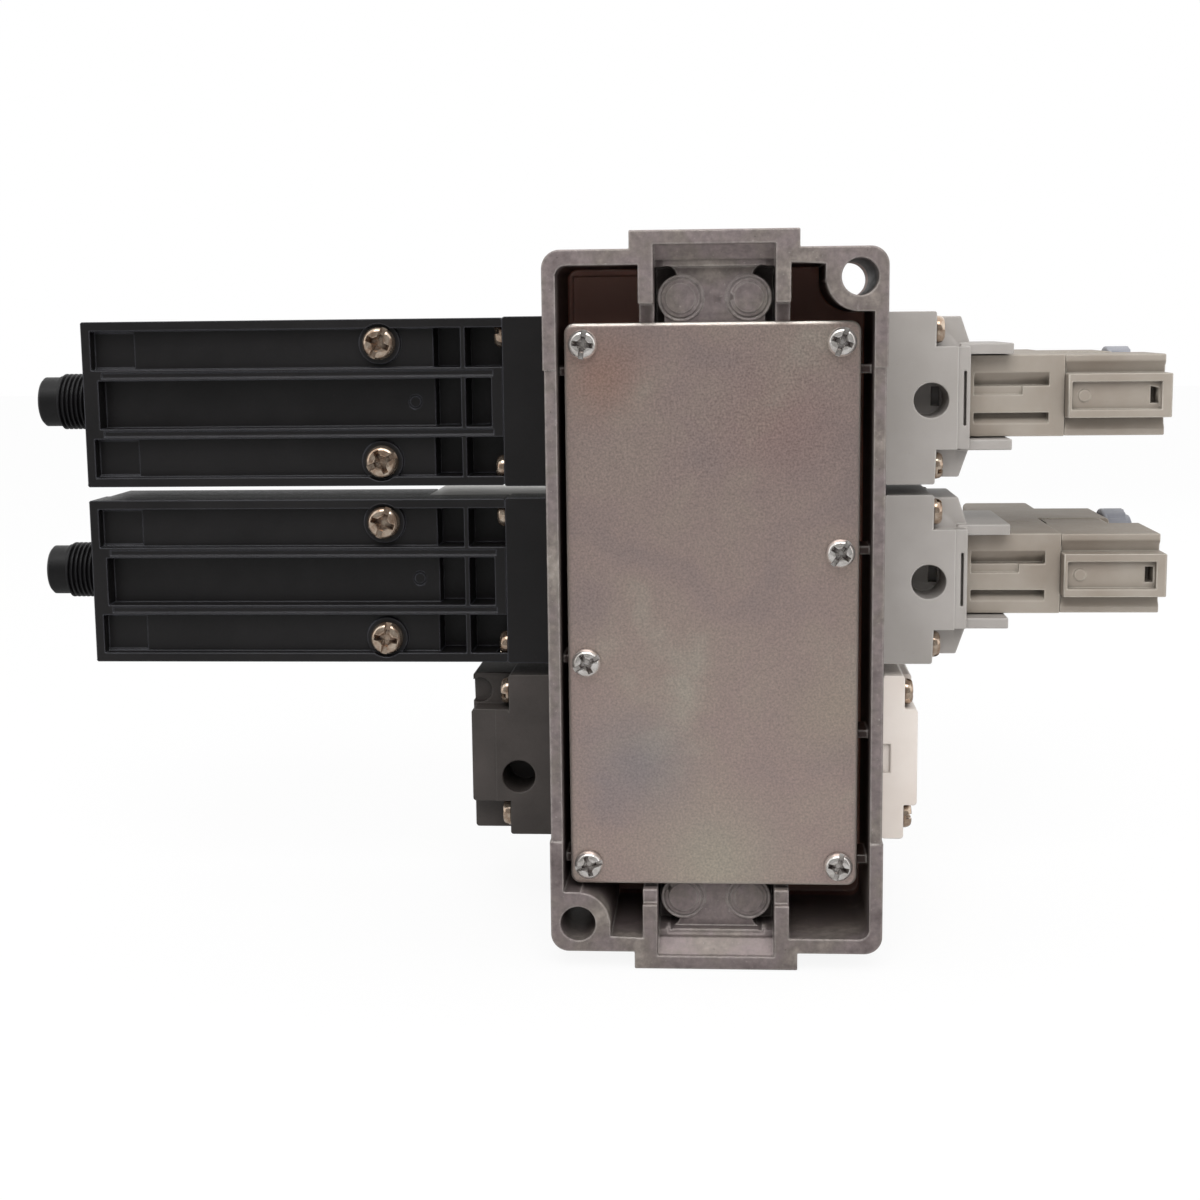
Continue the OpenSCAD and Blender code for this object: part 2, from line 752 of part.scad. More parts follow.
// Grey adapter between valve and pilot, with two tongues that hold the pilot
module pilot_adapter(z) {
    wing = [
        [hl, z - mw + 0.7], [ax - 1.9, z - mw + 0.7], [ax, z - 10.8], [ax, z + 10.8], [ax - 1.9, z + mw - 0.7],
        [hl, z + mw - 0.7]
    ];
    color("#9ea1a2") difference() {
        union() {
            soft_block(hl, ax - 7.4, y0, y1, z - mw - 0.3, z + mw + 0.3, 0.5);
            block(hl + 2, ax - 3, y0, y1, z - 10.3, z + 10.3);
            block(hl + 2, ax - 0.4, y0 + 1.2, y1, z - 10.2, z + 10.2);
            slab(wing, notch_y, notch_far);
            for (s = [-1, 1]) {
                z_a = z + min(s * tongue_in, s * 10.8);
                z_b = z + max(s * tongue_in, s * 10.8);
                block(ax - 2, ax + 8.6, y0 + 5, y1, z_a, z_b);
            }
        }
        rod_y(hl + 9.1, z - 0.4, y0 - e, y0 + 12, 3.5);
        block(hl + 10.2, hl + 12, y0 + 11, y0 + 14, z - 2, z + 2);
        block(ax - 1.7, ax - 1.2, y0 + 0.5, y0 + 3, z - 5.6, z + 5.4);
        for (y = [near_y, far_y]) {
            for (d = [-side_z, side_z]) {
                rod_x(y, z + d, hl - e, ax - 7.4 + e, 1.6);
            }
        }
        // pilot air passage and the bore of the override button
        rod_x(ya, z, hl - e, ax + e, 1.2);
        rod_y(press_x, z, y1 - 6.5, y1 + e, 2.4 + slack);
        rod_y(press_x, z, y1 - 8.5, y1 - 2.5, 3.2);
    }
}

module pilot_adapter_a() { pilot_adapter(za); }
module pilot_adapter_b() { pilot_adapter(zb); }

// Olive pilot valve body with the slots in its back
module pilot_body(z) {
    color("#a19f8c") difference() {
        block(ax, px, pilot_y, plug_y, z - pz, z + pz);
        bar([[pilot_y - e, z + 5.2], [pilot_y + 2.2, z + 2.9], [pilot_y + 2.6, z + 2], [pilot_y - e, z + 2]], ax + 1.4, px - 3.2);
        block(ax + 1.4, ax + 11.2, pilot_y - e, pilot_y + 1, z + 0.2, z + 2.2);
        bar([[pilot_y - e, z - 3.5], [pilot_y + 2.6, z - 3.5], [pilot_y + 2.2, z - 4.4], [pilot_y - e, z - 6]], ax + 1.4, px - 3.2);
        rod_x(ya, z, ax - e, ax + 9, 1.2);
        rod_x(ya, z, ax + 9, px + e, 2.9);
        block(ax + 9, px - 3, coil_y + 1.5, coil_y + 2.2, z + pz - 0.8, z + pz + e);
    }
}

module pilot_body_a() { pilot_body(za); }
module pilot_body_b() { pilot_body(zb); }

// Coil block with its coved sides, raised frame and test hole
module pilot_coil(z) {
    side = [
        [coil_y, pz - 0.1], [pilot_y, pz - 0.1], [pilot_y, 6.9], [pilot_y + 0.9, 5.9], [pilot_y + 1.2, 4.5],
        [pilot_y - 3.6, 4.45], [pilot_y - 3.6, -4.45], [pilot_y + 1.2, -4.5], [pilot_y + 0.9, -5.9],
        [pilot_y, -6.9], [pilot_y, -pz + 0.1], [coil_y, -pz + 0.1]
    ];
    color("#a5a392") difference() {
        union() {
            bar([for (p = side) [p[0], p[1] + z]], px, cx);
            block(cx - e, cx + 0.7, pilot_y - 3.6, pilot_y + 8, z - 4.45, z + 4.45);
        }
        block(px + 0.9, cx - 1.4, pilot_y - 3.6 - e, pilot_y - 1.8, z - 2.8, z + 2.8);
        block(cx - 3.4, cx - 1.7, pilot_y - 2, pilot_y + 3, z - 1.65, z + 1.65);
        rod_x(ya, z, px - e, px + 9, 2.9);
    }
    color("#a5a392") rod_y(px + 3.6, z, pilot_y - 2.3, pilot_y - 1.8, 1.25);
}

module pilot_coil_a() { pilot_coil(za); }
module pilot_coil_b() { pilot_coil(zb); }

// Sliding core inside the pilot
module armature(z) {
    color("#8f9194") {
        rod_x(ya, z, ax + 9.8, px + 8, 2.85);
        rod_x(ya, z, ax + 9.1, ax + 10, 2);
    }
}

module armature_a() { armature(za); }
module armature_b() { armature(zb); }

// Rectangular cable plug on the front of the pilot
module cable_plug(z) {
    xa = ax + 7.6;
    xb = cx - 4.3;
    color("#8e8f86") difference() {
        union() {
            soft_block(xa, xb, plug_y, plug_y + plug_h, z - pz + 0.1, z + pz - 0.1, 1);
            soft_block(xa, xa + 15.6, plug_y + plug_h - 2, plug_y + plug_h + 14, z - pz + 0.1, z + pz - 0.1, 1);
            block(px + 1, xb - 2, coil_y, plug_y + 1, z - pz + 0.4, z + pz - 0.4);
        }
        block(xa + 17, xb - 2, plug_y + 3, plug_y + plug_h - 4, z - pz + 2, z + pz - 2);
        rod_x(plug_y + 10.5, z, xb - 3, xb + 3, 3.6);
        rod_y(xa + 7.8, z, plug_y - e, plug_y + plug_h + 14 + e, 1.6);
        rod_y(xa + 7.8, z, plug_y + plug_h + 11, plug_y + plug_h + 14 + e, 3.2);
    }
}

module cable_plug_a() { cable_plug(za); }
module cable_plug_b() { cable_plug(zb); }

module gland(z) {
    xb = cx - 4.3;
    color("#7f8894") difference() {
        union() {
            rod_x(plug_y + 10.5, z, xb, xb + 5, 9.2);
            rod_x(plug_y + 10.5, z, xb + 5 - e, xb + 6.4, 7.8);
        }
        rod_x(plug_y + 10.5, z, xb - 1, xb + 8, 3.6);
        for (a = [0 : 30 : 330]) {
            rod_x(plug_y + 10.5 + 9.7 * cos(a), z + 9.7 * sin(a), xb + 0.8, xb + 6, 1);
        }
    }
}

module gland_a() { gland(za); }
module gland_b() { gland(zb); }

module plug_screws() {
    color("#b4b4b0") for (z = [za, zb]) {
        translate([ax + 15.4, plug_y + plug_h + 11, z]) rotate([0, 0, 180]) pan_screw(2.9, 2, 1.5, plug_h + 11);
    }
}

// Manual override button in the front of the adapter
module override(z) {
    color("#d9a33a") {
        rod_y(press_x, z, y1 - 6.4, y1 + 1.8, 2.4);
        rod_y(press_x, z, y1 - 4.2, y1 - 2.7, 3.1);
    }
}

module override_a() { override(za); }
module override_b() { override(zb); }

module soft_cap_black() {
    xb = -hl - black_l;
    color("#18181a") difference() {
        union() {
            soft_block(cap_x, -hl, y0, y1, zs - mw, zs + mw, 0.6);
            soft_block(xb, cap_x + 1, y0, y1, zs - 9.9, zs + 9.7, 0.7);
            soft_block(xb - 0.3, cap_x + 1, notch_y, notch_far, zs - mw - 0.1, zs + mw - 0.6, 0.7);
        }
        rod_y(-hl - 7.4, zs - 4.6, y0 - e, y0 + 12, 3.4);
        block(xb - e, xb + 5, y0 - e, y0 + 0.4, zs - 10.5, zs + 10.5);
        // scooped wall beside the upper screw
        rod_y(xb + 1, zs + 12.6, notch_y - 1, notch_y + 2.4, 2.6);
        for (y = [near_y, far_y]) {
            for (d = [-soft_z, soft_z]) {
                rod_x(y, zs + d, cap_x - e, -hl + e, 1.6);
            }
        }
        rod_x(ya, zs, -hl - 3, -hl + e, 7);
    }
}

module soft_cap_white() {
    xb = hl + white_l;
    color("#dcdad4") difference() {
        union() {
            soft_block(hl, xb - 2.7, y0, y1, zs - mw - 0.4, zs + mw, 0.8);
            soft_block(hl + 1, xb, y0, y1, zs - 10.3, zs + 10, 0.8);
            soft_block(hl + 1, xb - 0.8, notch_y, notch_far, zs - mw + 1, zs + mw - 0.8, 0.8);
        }
        block(hl - e, hl + 1.7, y0 - e, y0 + 0.8, zs - 3.4, zs + 2.6);
        for (y = [near_y, far_y]) {
            for (d = [-soft_z, soft_z]) {
                rod_x(y, zs + d, hl - e, xb + e, 1.6);
            }
        }
        rod_x(ya, zs, hl - e, hl + 3, 7);
    }
}

// Threaded bush, needle and knob that set the soft start
module needle_bush() {
    color("#b59a55") difference() {
        union() {
            rod_y(0, zs, bush_y, y1 + e, 3.95);
            translate([0, y1, zs]) rotate([-90, 0, 0]) cylinder(h = 3, r = 5.4, $fn = 6);
        }
        rod_y(0, zs, bush_y - e, y1 + 4, 1.6 + slack);
    }
}

module needle() {
    color("#a9abad") {
        rod_y(0, zs, bush_y + 0.8, y1 + 8.3, 1.6);
        translate([0, bush_y + 0.8, zs]) rotate([90, 0, 0]) cylinder(h = 1.2, r1 = 1.6, r2 = 0.5);
    }
}

module flow_knob() {
    color("#1e1e20") difference() {
        union() {
            rod_y(0, zs, y1 + 3.4, y1 + 11, knob_r - 0.5);
            rod_y(0, zs, y1 + 4.4, y1 + 10, knob_r);
        }
        rod_y(0, zs, y1 + 3, y1 + 10, 1.6 + slack);
        for (a = [0 : 20 : 340]) {
            rod_y((knob_r + 0.35) * cos(a), zs + (knob_r + 0.35) * sin(a), y1 + 4, y1 + 12, 0.6);
        }
        block(-knob_r + 1.4, knob_r - 1.4, y1 + 10.4, y1 + 12, zs - 0.5, zs + 0.5);
    }
}

base();
cover_plate();
cover_gasket();
cover_screws();
valve_gaskets();
valve_screws();
body_a();
body_b();
body_s();
spool_a();
spool_b();
spool_s();
seals_a();
seals_b();
seals_s();
spring_a();
spring_b();
spring_s();
switch_adaptor_a();
switch_adaptor_b();
end_cap_a();
end_cap_b();
bracket_a();
bracket_b();
bracket_screws();
side_screws();
switch_body_a();
switch_body_b();
switch_cover_a();
switch_cover_b();
switch_screws();
plunger_a();
plunger_b();
connector_a();
connector_b();
connector_pins();
pilot_adapter_a();
pilot_adapter_b();
pilot_body_a();
pilot_body_b();
pilot_coil_a();
pilot_coil_b();
armature_a();
armature_b();
cable_plug_a();
cable_plug_b();
gland_a();
gland_b();
plug_screws();
override_a();
override_b();
soft_cap_black();
soft_cap_white();
needle_bush();
needle();
flow_knob();
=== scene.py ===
import json
import math
import numpy as np
import bpy
import bmesh
from mathutils import Matrix, Vector
from mathutils.bvhtree import BVHTree
from mathutils.kdtree import KDTree


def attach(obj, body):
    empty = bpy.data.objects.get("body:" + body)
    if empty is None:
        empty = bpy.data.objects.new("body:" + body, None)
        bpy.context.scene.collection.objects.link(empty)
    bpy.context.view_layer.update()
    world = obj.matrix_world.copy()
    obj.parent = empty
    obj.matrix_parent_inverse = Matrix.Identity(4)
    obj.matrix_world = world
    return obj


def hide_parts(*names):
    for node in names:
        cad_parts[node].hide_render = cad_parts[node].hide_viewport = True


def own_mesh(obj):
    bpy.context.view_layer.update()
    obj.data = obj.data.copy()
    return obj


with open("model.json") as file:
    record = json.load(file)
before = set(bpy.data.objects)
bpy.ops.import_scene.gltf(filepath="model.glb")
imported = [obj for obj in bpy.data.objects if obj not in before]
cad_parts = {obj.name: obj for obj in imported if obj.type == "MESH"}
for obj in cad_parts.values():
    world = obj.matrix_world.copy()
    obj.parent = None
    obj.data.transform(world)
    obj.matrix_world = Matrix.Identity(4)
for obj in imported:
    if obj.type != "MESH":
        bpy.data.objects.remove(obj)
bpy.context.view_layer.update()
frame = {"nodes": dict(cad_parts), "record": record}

nodes = frame["nodes"]
mm = 0.001
scene = bpy.context.scene


def boxOf(nodeName):
    # lowest and highest corner of a CAD node, in mm
    node = nodes[nodeName]
    corners = [node.matrix_world @ v.co / mm for v in node.data.vertices]
    return [[round(outermost(c[axis] for c in corners), 2) for axis in range(3)] for outermost in (min, max)]


def middleOf(nodeName, axis):
    low, high = boxOf(nodeName)
    return round((low[axis] + high[axis]) / 2, 2)


# heights of the three valves and the depth of their spools
valveA, valveB, valveS = (middleOf(name, 2) for name in ("body_a", "body_b", "body_s"))
spoolDepth = middleOf("connector_a", 1)
detecting = (valveA, valveB)


def linearColour(hexText):
    parts = [int(hexText[i:i + 2], 16) / 255 for i in (1, 3, 5)]
    return tuple(c / 12.92 if c <= 0.04045 else ((c + 0.055) / 1.055) ** 2.4 for c in parts) + (1.0,)


def addNode(tree, kind, inputs=None, stops=None, **settings):
    # one node with its settings, colour stops and links; a node given as an input links its first output
    node = tree.nodes.new("ShaderNode" + kind)
    for name, value in settings.items():
        setattr(node, name, value)
    for name, value in (inputs or {}).items():
        socket = node.inputs[name]
        if isinstance(value, bpy.types.Node):
            tree.links.new(value.outputs[0], socket)
        elif isinstance(value, bpy.types.NodeSocket):
            tree.links.new(value, socket)
        elif isinstance(value, str):
            socket.default_value = linearColour(value)
        else:
            socket.default_value = value
    if stops:
        ramp = node.color_ramp
        while len(ramp.elements) < len(stops):
            ramp.elements.new(0.5)
        for element, (place, value) in zip(ramp.elements, stops):
            element.position = place
            element.color = linearColour(value) if isinstance(value, str) else (value, value, value, 1)
    return node


def newFinish(name):
    material = bpy.data.materials.new(name)
    material.use_nodes = True
    material.node_tree.nodes.clear()
    return material, material.node_tree


def perMm(size):
    # noise scale, in repeats per metre, whose blobs are about this many mm across
    return 1 / (size * mm)


# the span in which nearly all values of a noise lie
noiseSpan = {"From Min": 0.3, "From Max": 0.7}

# Looks of the cast base. A fade names what it measures, the two places in mm between which
# it runs, and its values at both
castLook = {
    "tones": [(0.30, "#695f5e"), (0.44, "#867b7a"), (0.56, "#7f7671"), (0.70, "#a0978f")],
    # the edge colour paints highlights on the edges, the pocket colour paints shade in the pockets, and the
    # pit colour also paints shade in the corners
    "fleck": "#c9c3bd", "pit": "#3a3332", "edge": "#d6d0ca", "pocket": "#33231e", "pocketFloor": "#b98776",
    "blotchMm": 11.0, "mottleMm": 1.3, "fleckMm": 0.55, "pitMm": 2.6, "sootMm": 3.5, "edgeMm": 0.5,
    "mottleShade": (0.72, 1.24), "soot": 0.6, "rub": 0.95, "bump": 0.35, "reliefMm": 0.12,
    "roughness": (0.44, 0.62), "metallic": (0.55, 0.05),
    "fades": {
        "insideSides": ("across", 30.2, 29.7, 0, 1),
        "insideEnds": ("upOrDown", 64.5, 63.8, 0, 1),
        "besideRecess": ("across", 11.2, 12.0, 0, 1),
        "pocketDepth": ("depth", 0.8, 8.5, 0, 1),
        "recessDepth": ("depth", 6.8, 10.5, 0, 0.35),
        "lowEnd": ("height", -50.0, -57.0, 1, 0.45),
        "beforeSeat": ("depth", 34.5, 33.2, 0, 1),
        "pocketFloor": ("depth", 27.5, 29.0, 0, 1),
    },
}


def castAluminium():
    # die cast aluminium: blotchy satin skin, painted highlights on the edges, painted shade in the deep
    # pockets
    look = castLook
    material, tree = newFinish("castAluminium")
    place = addNode(tree, "TexCoord").outputs["Object"]
    blotch = addNode(tree, "TexNoise", {"Vector": place, "Scale": perMm(look["blotchMm"]), "Detail": 5.0,
                                        "Roughness": 0.62})
    mottle = addNode(tree, "TexNoise", {"Vector": place, "Scale": perMm(look["mottleMm"]), "Detail": 6.0,
                                        "Roughness": 0.7})
    fleck = addNode(tree, "TexNoise", {"Vector": place, "Scale": perMm(look["fleckMm"]), "Detail": 2.0,
                                       "Roughness": 0.5})
    pits = addNode(tree, "TexVoronoi", {"Vector": place, "Scale": perMm(look["pitMm"]), "Randomness": 1.0})
    tone = addNode(tree, "ValToRGB", {"Fac": blotch}, stops=look["tones"])
    low, high = look["mottleShade"]
    grain = addNode(tree, "MapRange", {**noiseSpan, "Value": mottle, "To Min": low, "To Max": high})
    grained = addNode(tree, "Mix", {6: tone, 7: grain, "Factor": 1.0}, data_type="RGBA",
                      blend_type="MULTIPLY")
    flecks = addNode(tree, "ValToRGB", {"Fac": fleck}, stops=[(0.68, 0.0), (0.80, 0.5)])
    pitted = addNode(tree, "ValToRGB", {"Fac": pits}, stops=[(0.02, 0.6), (0.07, 0.0)])
    # painted shade in the corners, in the colour of the pits
    crease = addNode(tree, "AmbientOcclusion", {"Distance": look["sootMm"] * mm}, samples=6)
    soot = addNode(tree, "MapRange", {"Value": crease.outputs["AO"], "From Min": 0.70, "From Max": 0.25,
                                      "To Max": look["soot"]})
    # the painted shade grows with depth below the rim, less so in the two port recesses and at the low end,
    # and none of it lies outside the walls or past the pockets' floors, on the seat of the valves
    axes = addNode(tree, "SeparateXYZ", {0: place})
    measures = {
        "across": addNode(tree, "Math", {0: axes.outputs["X"]}, operation="ABSOLUTE"),
        "upOrDown": addNode(tree, "Math", {0: axes.outputs["Z"]}, operation="ABSOLUTE"),
        "depth": axes.outputs["Y"],
        "height": axes.outputs["Z"],
    }
    fade = {}
    for name, (measure, start, end, low, high) in look["fades"].items():
        fade[name] = addNode(tree, "MapRange", {"Value": measures[measure], "From Min": start * mm,
                                                "From Max": end * mm, "To Min": low, "To Max": high})
    fade["pocketDepth"].interpolation_type = "SMOOTHSTEP"
    shade = addNode(tree, "Mix", {"Factor": fade["besideRecess"], 2: fade["recessDepth"],
                                  3: fade["pocketDepth"]}, data_type="FLOAT")
    for limit in ("insideSides", "insideEnds", "lowEnd", "beforeSeat"):
        shade = addNode(tree, "Math", {0: shade, 1: fade[limit]}, operation="MULTIPLY")
    floor = addNode(tree, "Math", {0: fade["pocketFloor"], 1: shade}, operation="MULTIPLY")
    # painted edge highlights: where a rounded normal parts from the true one
    soft = addNode(tree, "Bevel", {"Radius": look["edgeMm"] * mm}, samples=4)
    flat = addNode(tree, "NewGeometry")
    turn = addNode(tree, "VectorMath", {0: soft, 1: flat.outputs["Normal"]}, operation="DOT_PRODUCT")
    bent = addNode(tree, "MapRange", {"Value": turn.outputs["Value"], "From Min": 0.995, "From Max": 0.90,
                                      "To Max": look["rub"]})
    rub = addNode(tree, "Math", {0: bent, 1: mottle}, operation="MULTIPLY")
    colour = grained.outputs[2]
    for paint, mask in (("fleck", flecks), ("pit", pitted), ("pit", soot), ("pocket", shade),
                        ("pocketFloor", floor), ("edge", rub)):
        layer = addNode(tree, "Mix", {6: colour, 7: look[paint], "Factor": mask}, data_type="RGBA")
        colour = layer.outputs[2]
    smooth, rough = look["roughness"]
    satin = addNode(tree, "MapRange", {**noiseSpan, "Value": mottle, "To Min": smooth, "To Max": rough})
    bare, shadedMetallic = look["metallic"]
    gleam = addNode(tree, "MapRange", {"Value": shade, "To Min": bare, "To Max": shadedMetallic})
    relief = addNode(tree, "Math", {0: mottle, 1: pitted}, operation="SUBTRACT")
    bump = addNode(tree, "Bump", {"Height": relief, "Strength": look["bump"],
                                  "Distance": look["reliefMm"] * mm, "Normal": soft})
    shader = addNode(tree, "BsdfPrincipled", {"Base Color": colour, "Metallic": gleam, "Roughness": satin,
                                              "Normal": bump})
    addNode(tree, "OutputMaterial", {"Surface": shader})
    return material


# Looks of the cover plate. A tint has its middle and its reach in mm, its colour and its strength;
# the grain is drawn coarser than life, so that it shows
plateLook = {
    "tones": [(0.28, "#bcaaa6"), (0.45, "#c7b2ab"), (0.60, "#cab7ad"), (0.75, "#d0c5b8")],
    "tints": [((-21, 3, 43), 13, "#cf9a80", 0.40), ((12, 3, 34), 16, "#c7a39d", 0.40),
              ((-14, 3, -30), 17, "#a3a1a8", 0.60), ((22, 3, -20), 14, "#cbbfaa", 0.40),
              ((0, 3, -50), 20, "#d6d0bb", 0.60), ((-24, 3, 0), 10, "#a59699", 0.45)],
    "tintRaggedMm": 12.0, "tintFadeMm": 6.0, "tintCoreMm": 4.0,
    # the edge colour paints a highlight on the rim
    "edge": "#f0ebe2", "scratch": "#c7beb4",
    "grainMm": 0.42, "blotchMm": 18.0, "edgeMm": 1.1, "grainShade": (0.80, 1.19), "rub": 0.9,
    "roughness": (0.30, 0.44), "metallic": 0.92, "bump": 0.25, "reliefMm": 0.04,
}


def zincPlatedSteel():
    # zinc plated, passivated sheet: fine sparkling grain, soft tints in patches, the palest lightening the
    # lower end, a few hairline scratches
    look = plateLook
    material, tree = newFinish("zincPlatedSteel")
    place = addNode(tree, "TexCoord").outputs["Object"]
    blotch = addNode(tree, "TexNoise", {"Vector": place, "Scale": perMm(look["blotchMm"]), "Detail": 3.0,
                                        "Roughness": 0.55, "Distortion": 0.4})
    grain = addNode(tree, "TexNoise", {"Vector": place, "Scale": perMm(look["grainMm"]), "Detail": 3.0,
                                       "Roughness": 0.65})
    colour = addNode(tree, "ValToRGB", {"Fac": blotch}, stops=look["tones"])
    for middle, reach, tint, strength in look["tints"]:
        away = addNode(tree, "VectorMath", {0: place, 1: Vector(middle) * mm}, operation="DISTANCE")
        ragged = addNode(tree, "Math", {0: blotch, 1: look["tintRaggedMm"] * mm, 2: away.outputs["Value"]},
                         operation="MULTIPLY_ADD")
        mask = addNode(tree, "MapRange", {"Value": ragged, "From Min": (reach + look["tintFadeMm"]) * mm,
                                          "From Max": look["tintCoreMm"] * mm, "To Max": strength},
                       interpolation_type="SMOOTHSTEP")
        colour = addNode(tree, "Mix", {6: colour, 7: tint, "Factor": mask}, data_type="RGBA").outputs[2]
    low, high = look["grainShade"]
    shade = addNode(tree, "MapRange", {**noiseSpan, "Value": grain, "To Min": low, "To Max": high})
    grained = addNode(tree, "Mix", {6: colour, 7: shade, "Factor": 1.0}, data_type="RGBA",
                      blend_type="MULTIPLY")
    # hairline scratches: thin bands of a stretched noise, broken up by a coarser one
    lean = addNode(tree, "Mapping", {"Vector": place, "Rotation": (0, 0.9, 0), "Scale": (14, 14, 120)})
    streak = addNode(tree, "TexNoise", {"Vector": lean, "Scale": 4.0, "Detail": 2.0, "Distortion": 0.3})
    line = addNode(tree, "ValToRGB", {"Fac": streak}, stops=[(0.555, 0.0), (0.559, 0.8), (0.563, 0.0)])
    broken = addNode(tree, "ValToRGB", {"Fac": blotch}, stops=[(0.50, 0.0), (0.60, 0.6)])
    scratches = addNode(tree, "Math", {0: line, 1: broken}, operation="MULTIPLY")
    # painted highlight: pale where the edge turns away from the back
    soft = addNode(tree, "Bevel", {"Radius": look["edgeMm"] * mm}, samples=6)
    facing = addNode(tree, "SeparateXYZ", {0: soft})
    rub = addNode(tree, "MapRange", {"Value": facing.outputs["Y"], "From Min": -0.985, "From Max": -0.85,
                                     "To Max": look["rub"]})
    colour = grained.outputs[2]
    for paint, mask in (("scratch", scratches), ("edge", rub)):
        layer = addNode(tree, "Mix", {6: colour, 7: look[paint], "Factor": mask}, data_type="RGBA")
        colour = layer.outputs[2]
    smooth, rough = look["roughness"]
    satin = addNode(tree, "MapRange", {**noiseSpan, "Value": grain, "To Min": smooth, "To Max": rough})
    bump = addNode(tree, "Bump", {"Height": grain, "Strength": look["bump"],
                                  "Distance": look["reliefMm"] * mm, "Normal": soft})
    shader = addNode(tree, "BsdfPrincipled", {"Base Color": colour, "Metallic": look["metallic"],
                                              "Roughness": satin, "Normal": bump})
    addNode(tree, "OutputMaterial", {"Surface": shader})
    return material


# Metals: a dark colour, part dirt and part painted shade, gathers in creases and recesses.
# What a look doesn't name is taken from the usual one
usualMetal = {"stretch": (1, 1, 1), "creaseMm": 1.0, "dirtiness": 0.5, "metallic": 1.0, "bump": 0.2,
              "reliefMm": 0.03}
metalLooks = {
    # nickel plated steel screws: bright domes, brown-black dirt and painted shade in the recesses
    "nickelPlate": {"dark": "#d2ccc6", "light": "#f0ece8", "dirt": "#3f2a26", "cloudMm": 1.6, "grainMm": 0.35,
                    "creaseMm": 1.1, "dirtiness": 1.0, "roughness": (0.10, 0.20), "metallic": 0.84},
    # yellow passivated zinc: warm, faintly brassy bright heads
    "yellowZinc": {"dark": "#b89c86", "light": "#e0cfbc", "dirt": "#3d2014", "cloudMm": 1.4, "grainMm": 0.35,
                   "creaseMm": 1.2, "dirtiness": 1.0, "roughness": (0.10, 0.20), "metallic": 0.9},
    # bead blasted aluminium: even, dull silver grey
    "blastedAluminium": {"dark": "#a9a7a3", "light": "#bab8b4", "dirt": "#5c5853", "cloudMm": 14,
                         "grainMm": 0.4, "creaseMm": 2.0, "dirtiness": 0.45, "roughness": (0.36, 0.5),
                         "metallic": 0.9, "bump": 0.3},
    # ground steel: fine marks that run around the spool
    "groundSteel": {"dark": "#9c9c9e", "light": "#b4b4b5", "dirt": "#4a4846", "cloudMm": 6, "grainMm": 0.5,
                    "stretch": (8, 1, 1), "roughness": (0.2, 0.34)},
    # drawn spring wire: dark bare steel
    "springWire": {"dark": "#77787b", "light": "#8c8d90", "dirt": "#3a3836", "cloudMm": 3, "grainMm": 0.3,
                   "roughness": (0.28, 0.4)},
    # turned brass: yellow, with tool marks around the turning
    "turnedBrass": {"dark": "#b08d4a", "light": "#c6a662", "dirt": "#5a4522", "cloudMm": 4, "grainMm": 0.3,
                    "stretch": (1, 8, 1), "roughness": (0.2, 0.34)},
}


def plainMetal(name, ownLook):
    # turned, drawn or plated metal: clouded tone, dirt and painted shade in the creases, fine marks
    look = {**usualMetal, **ownLook}
    material, tree = newFinish(name)
    place = addNode(tree, "TexCoord").outputs["Object"]
    marks = addNode(tree, "Mapping", {"Vector": place, "Scale": look["stretch"]})
    cloud = addNode(tree, "TexNoise", {"Vector": place, "Scale": perMm(look["cloudMm"]), "Detail": 4.0})
    grain = addNode(tree, "TexNoise", {"Vector": marks, "Scale": perMm(look["grainMm"]), "Detail": 3.0,
                                       "Roughness": 0.6})
    tone = addNode(tree, "ValToRGB", {"Fac": cloud}, stops=[(0.35, look["dark"]), (0.65, look["light"])])
    # the dark colour, dirt and painted shade, where the surface lies in a crease
    crease = addNode(tree, "AmbientOcclusion", {"Distance": look["creaseMm"] * mm}, samples=6)
    dirt = addNode(tree, "MapRange", {"Value": crease.outputs["AO"], "From Min": 0.75, "From Max": 0.25,
                                      "To Max": look["dirtiness"]})
    dirtyAndShaded = addNode(tree, "Mix", {6: tone, 7: look["dirt"], "Factor": dirt}, data_type="RGBA")
    smooth, rough = look["roughness"]
    satin = addNode(tree, "MapRange", {**noiseSpan, "Value": grain, "To Min": smooth, "To Max": rough})
    bump = addNode(tree, "Bump", {"Height": grain, "Strength": look["bump"],
                                  "Distance": look["reliefMm"] * mm})
    shader = addNode(tree, "BsdfPrincipled", {"Base Color": dirtyAndShaded.outputs[2], "Metallic": look["metallic"],
                                              "Roughness": satin, "Normal": bump})
    addNode(tree, "OutputMaterial", {"Surface": shader})
    return material
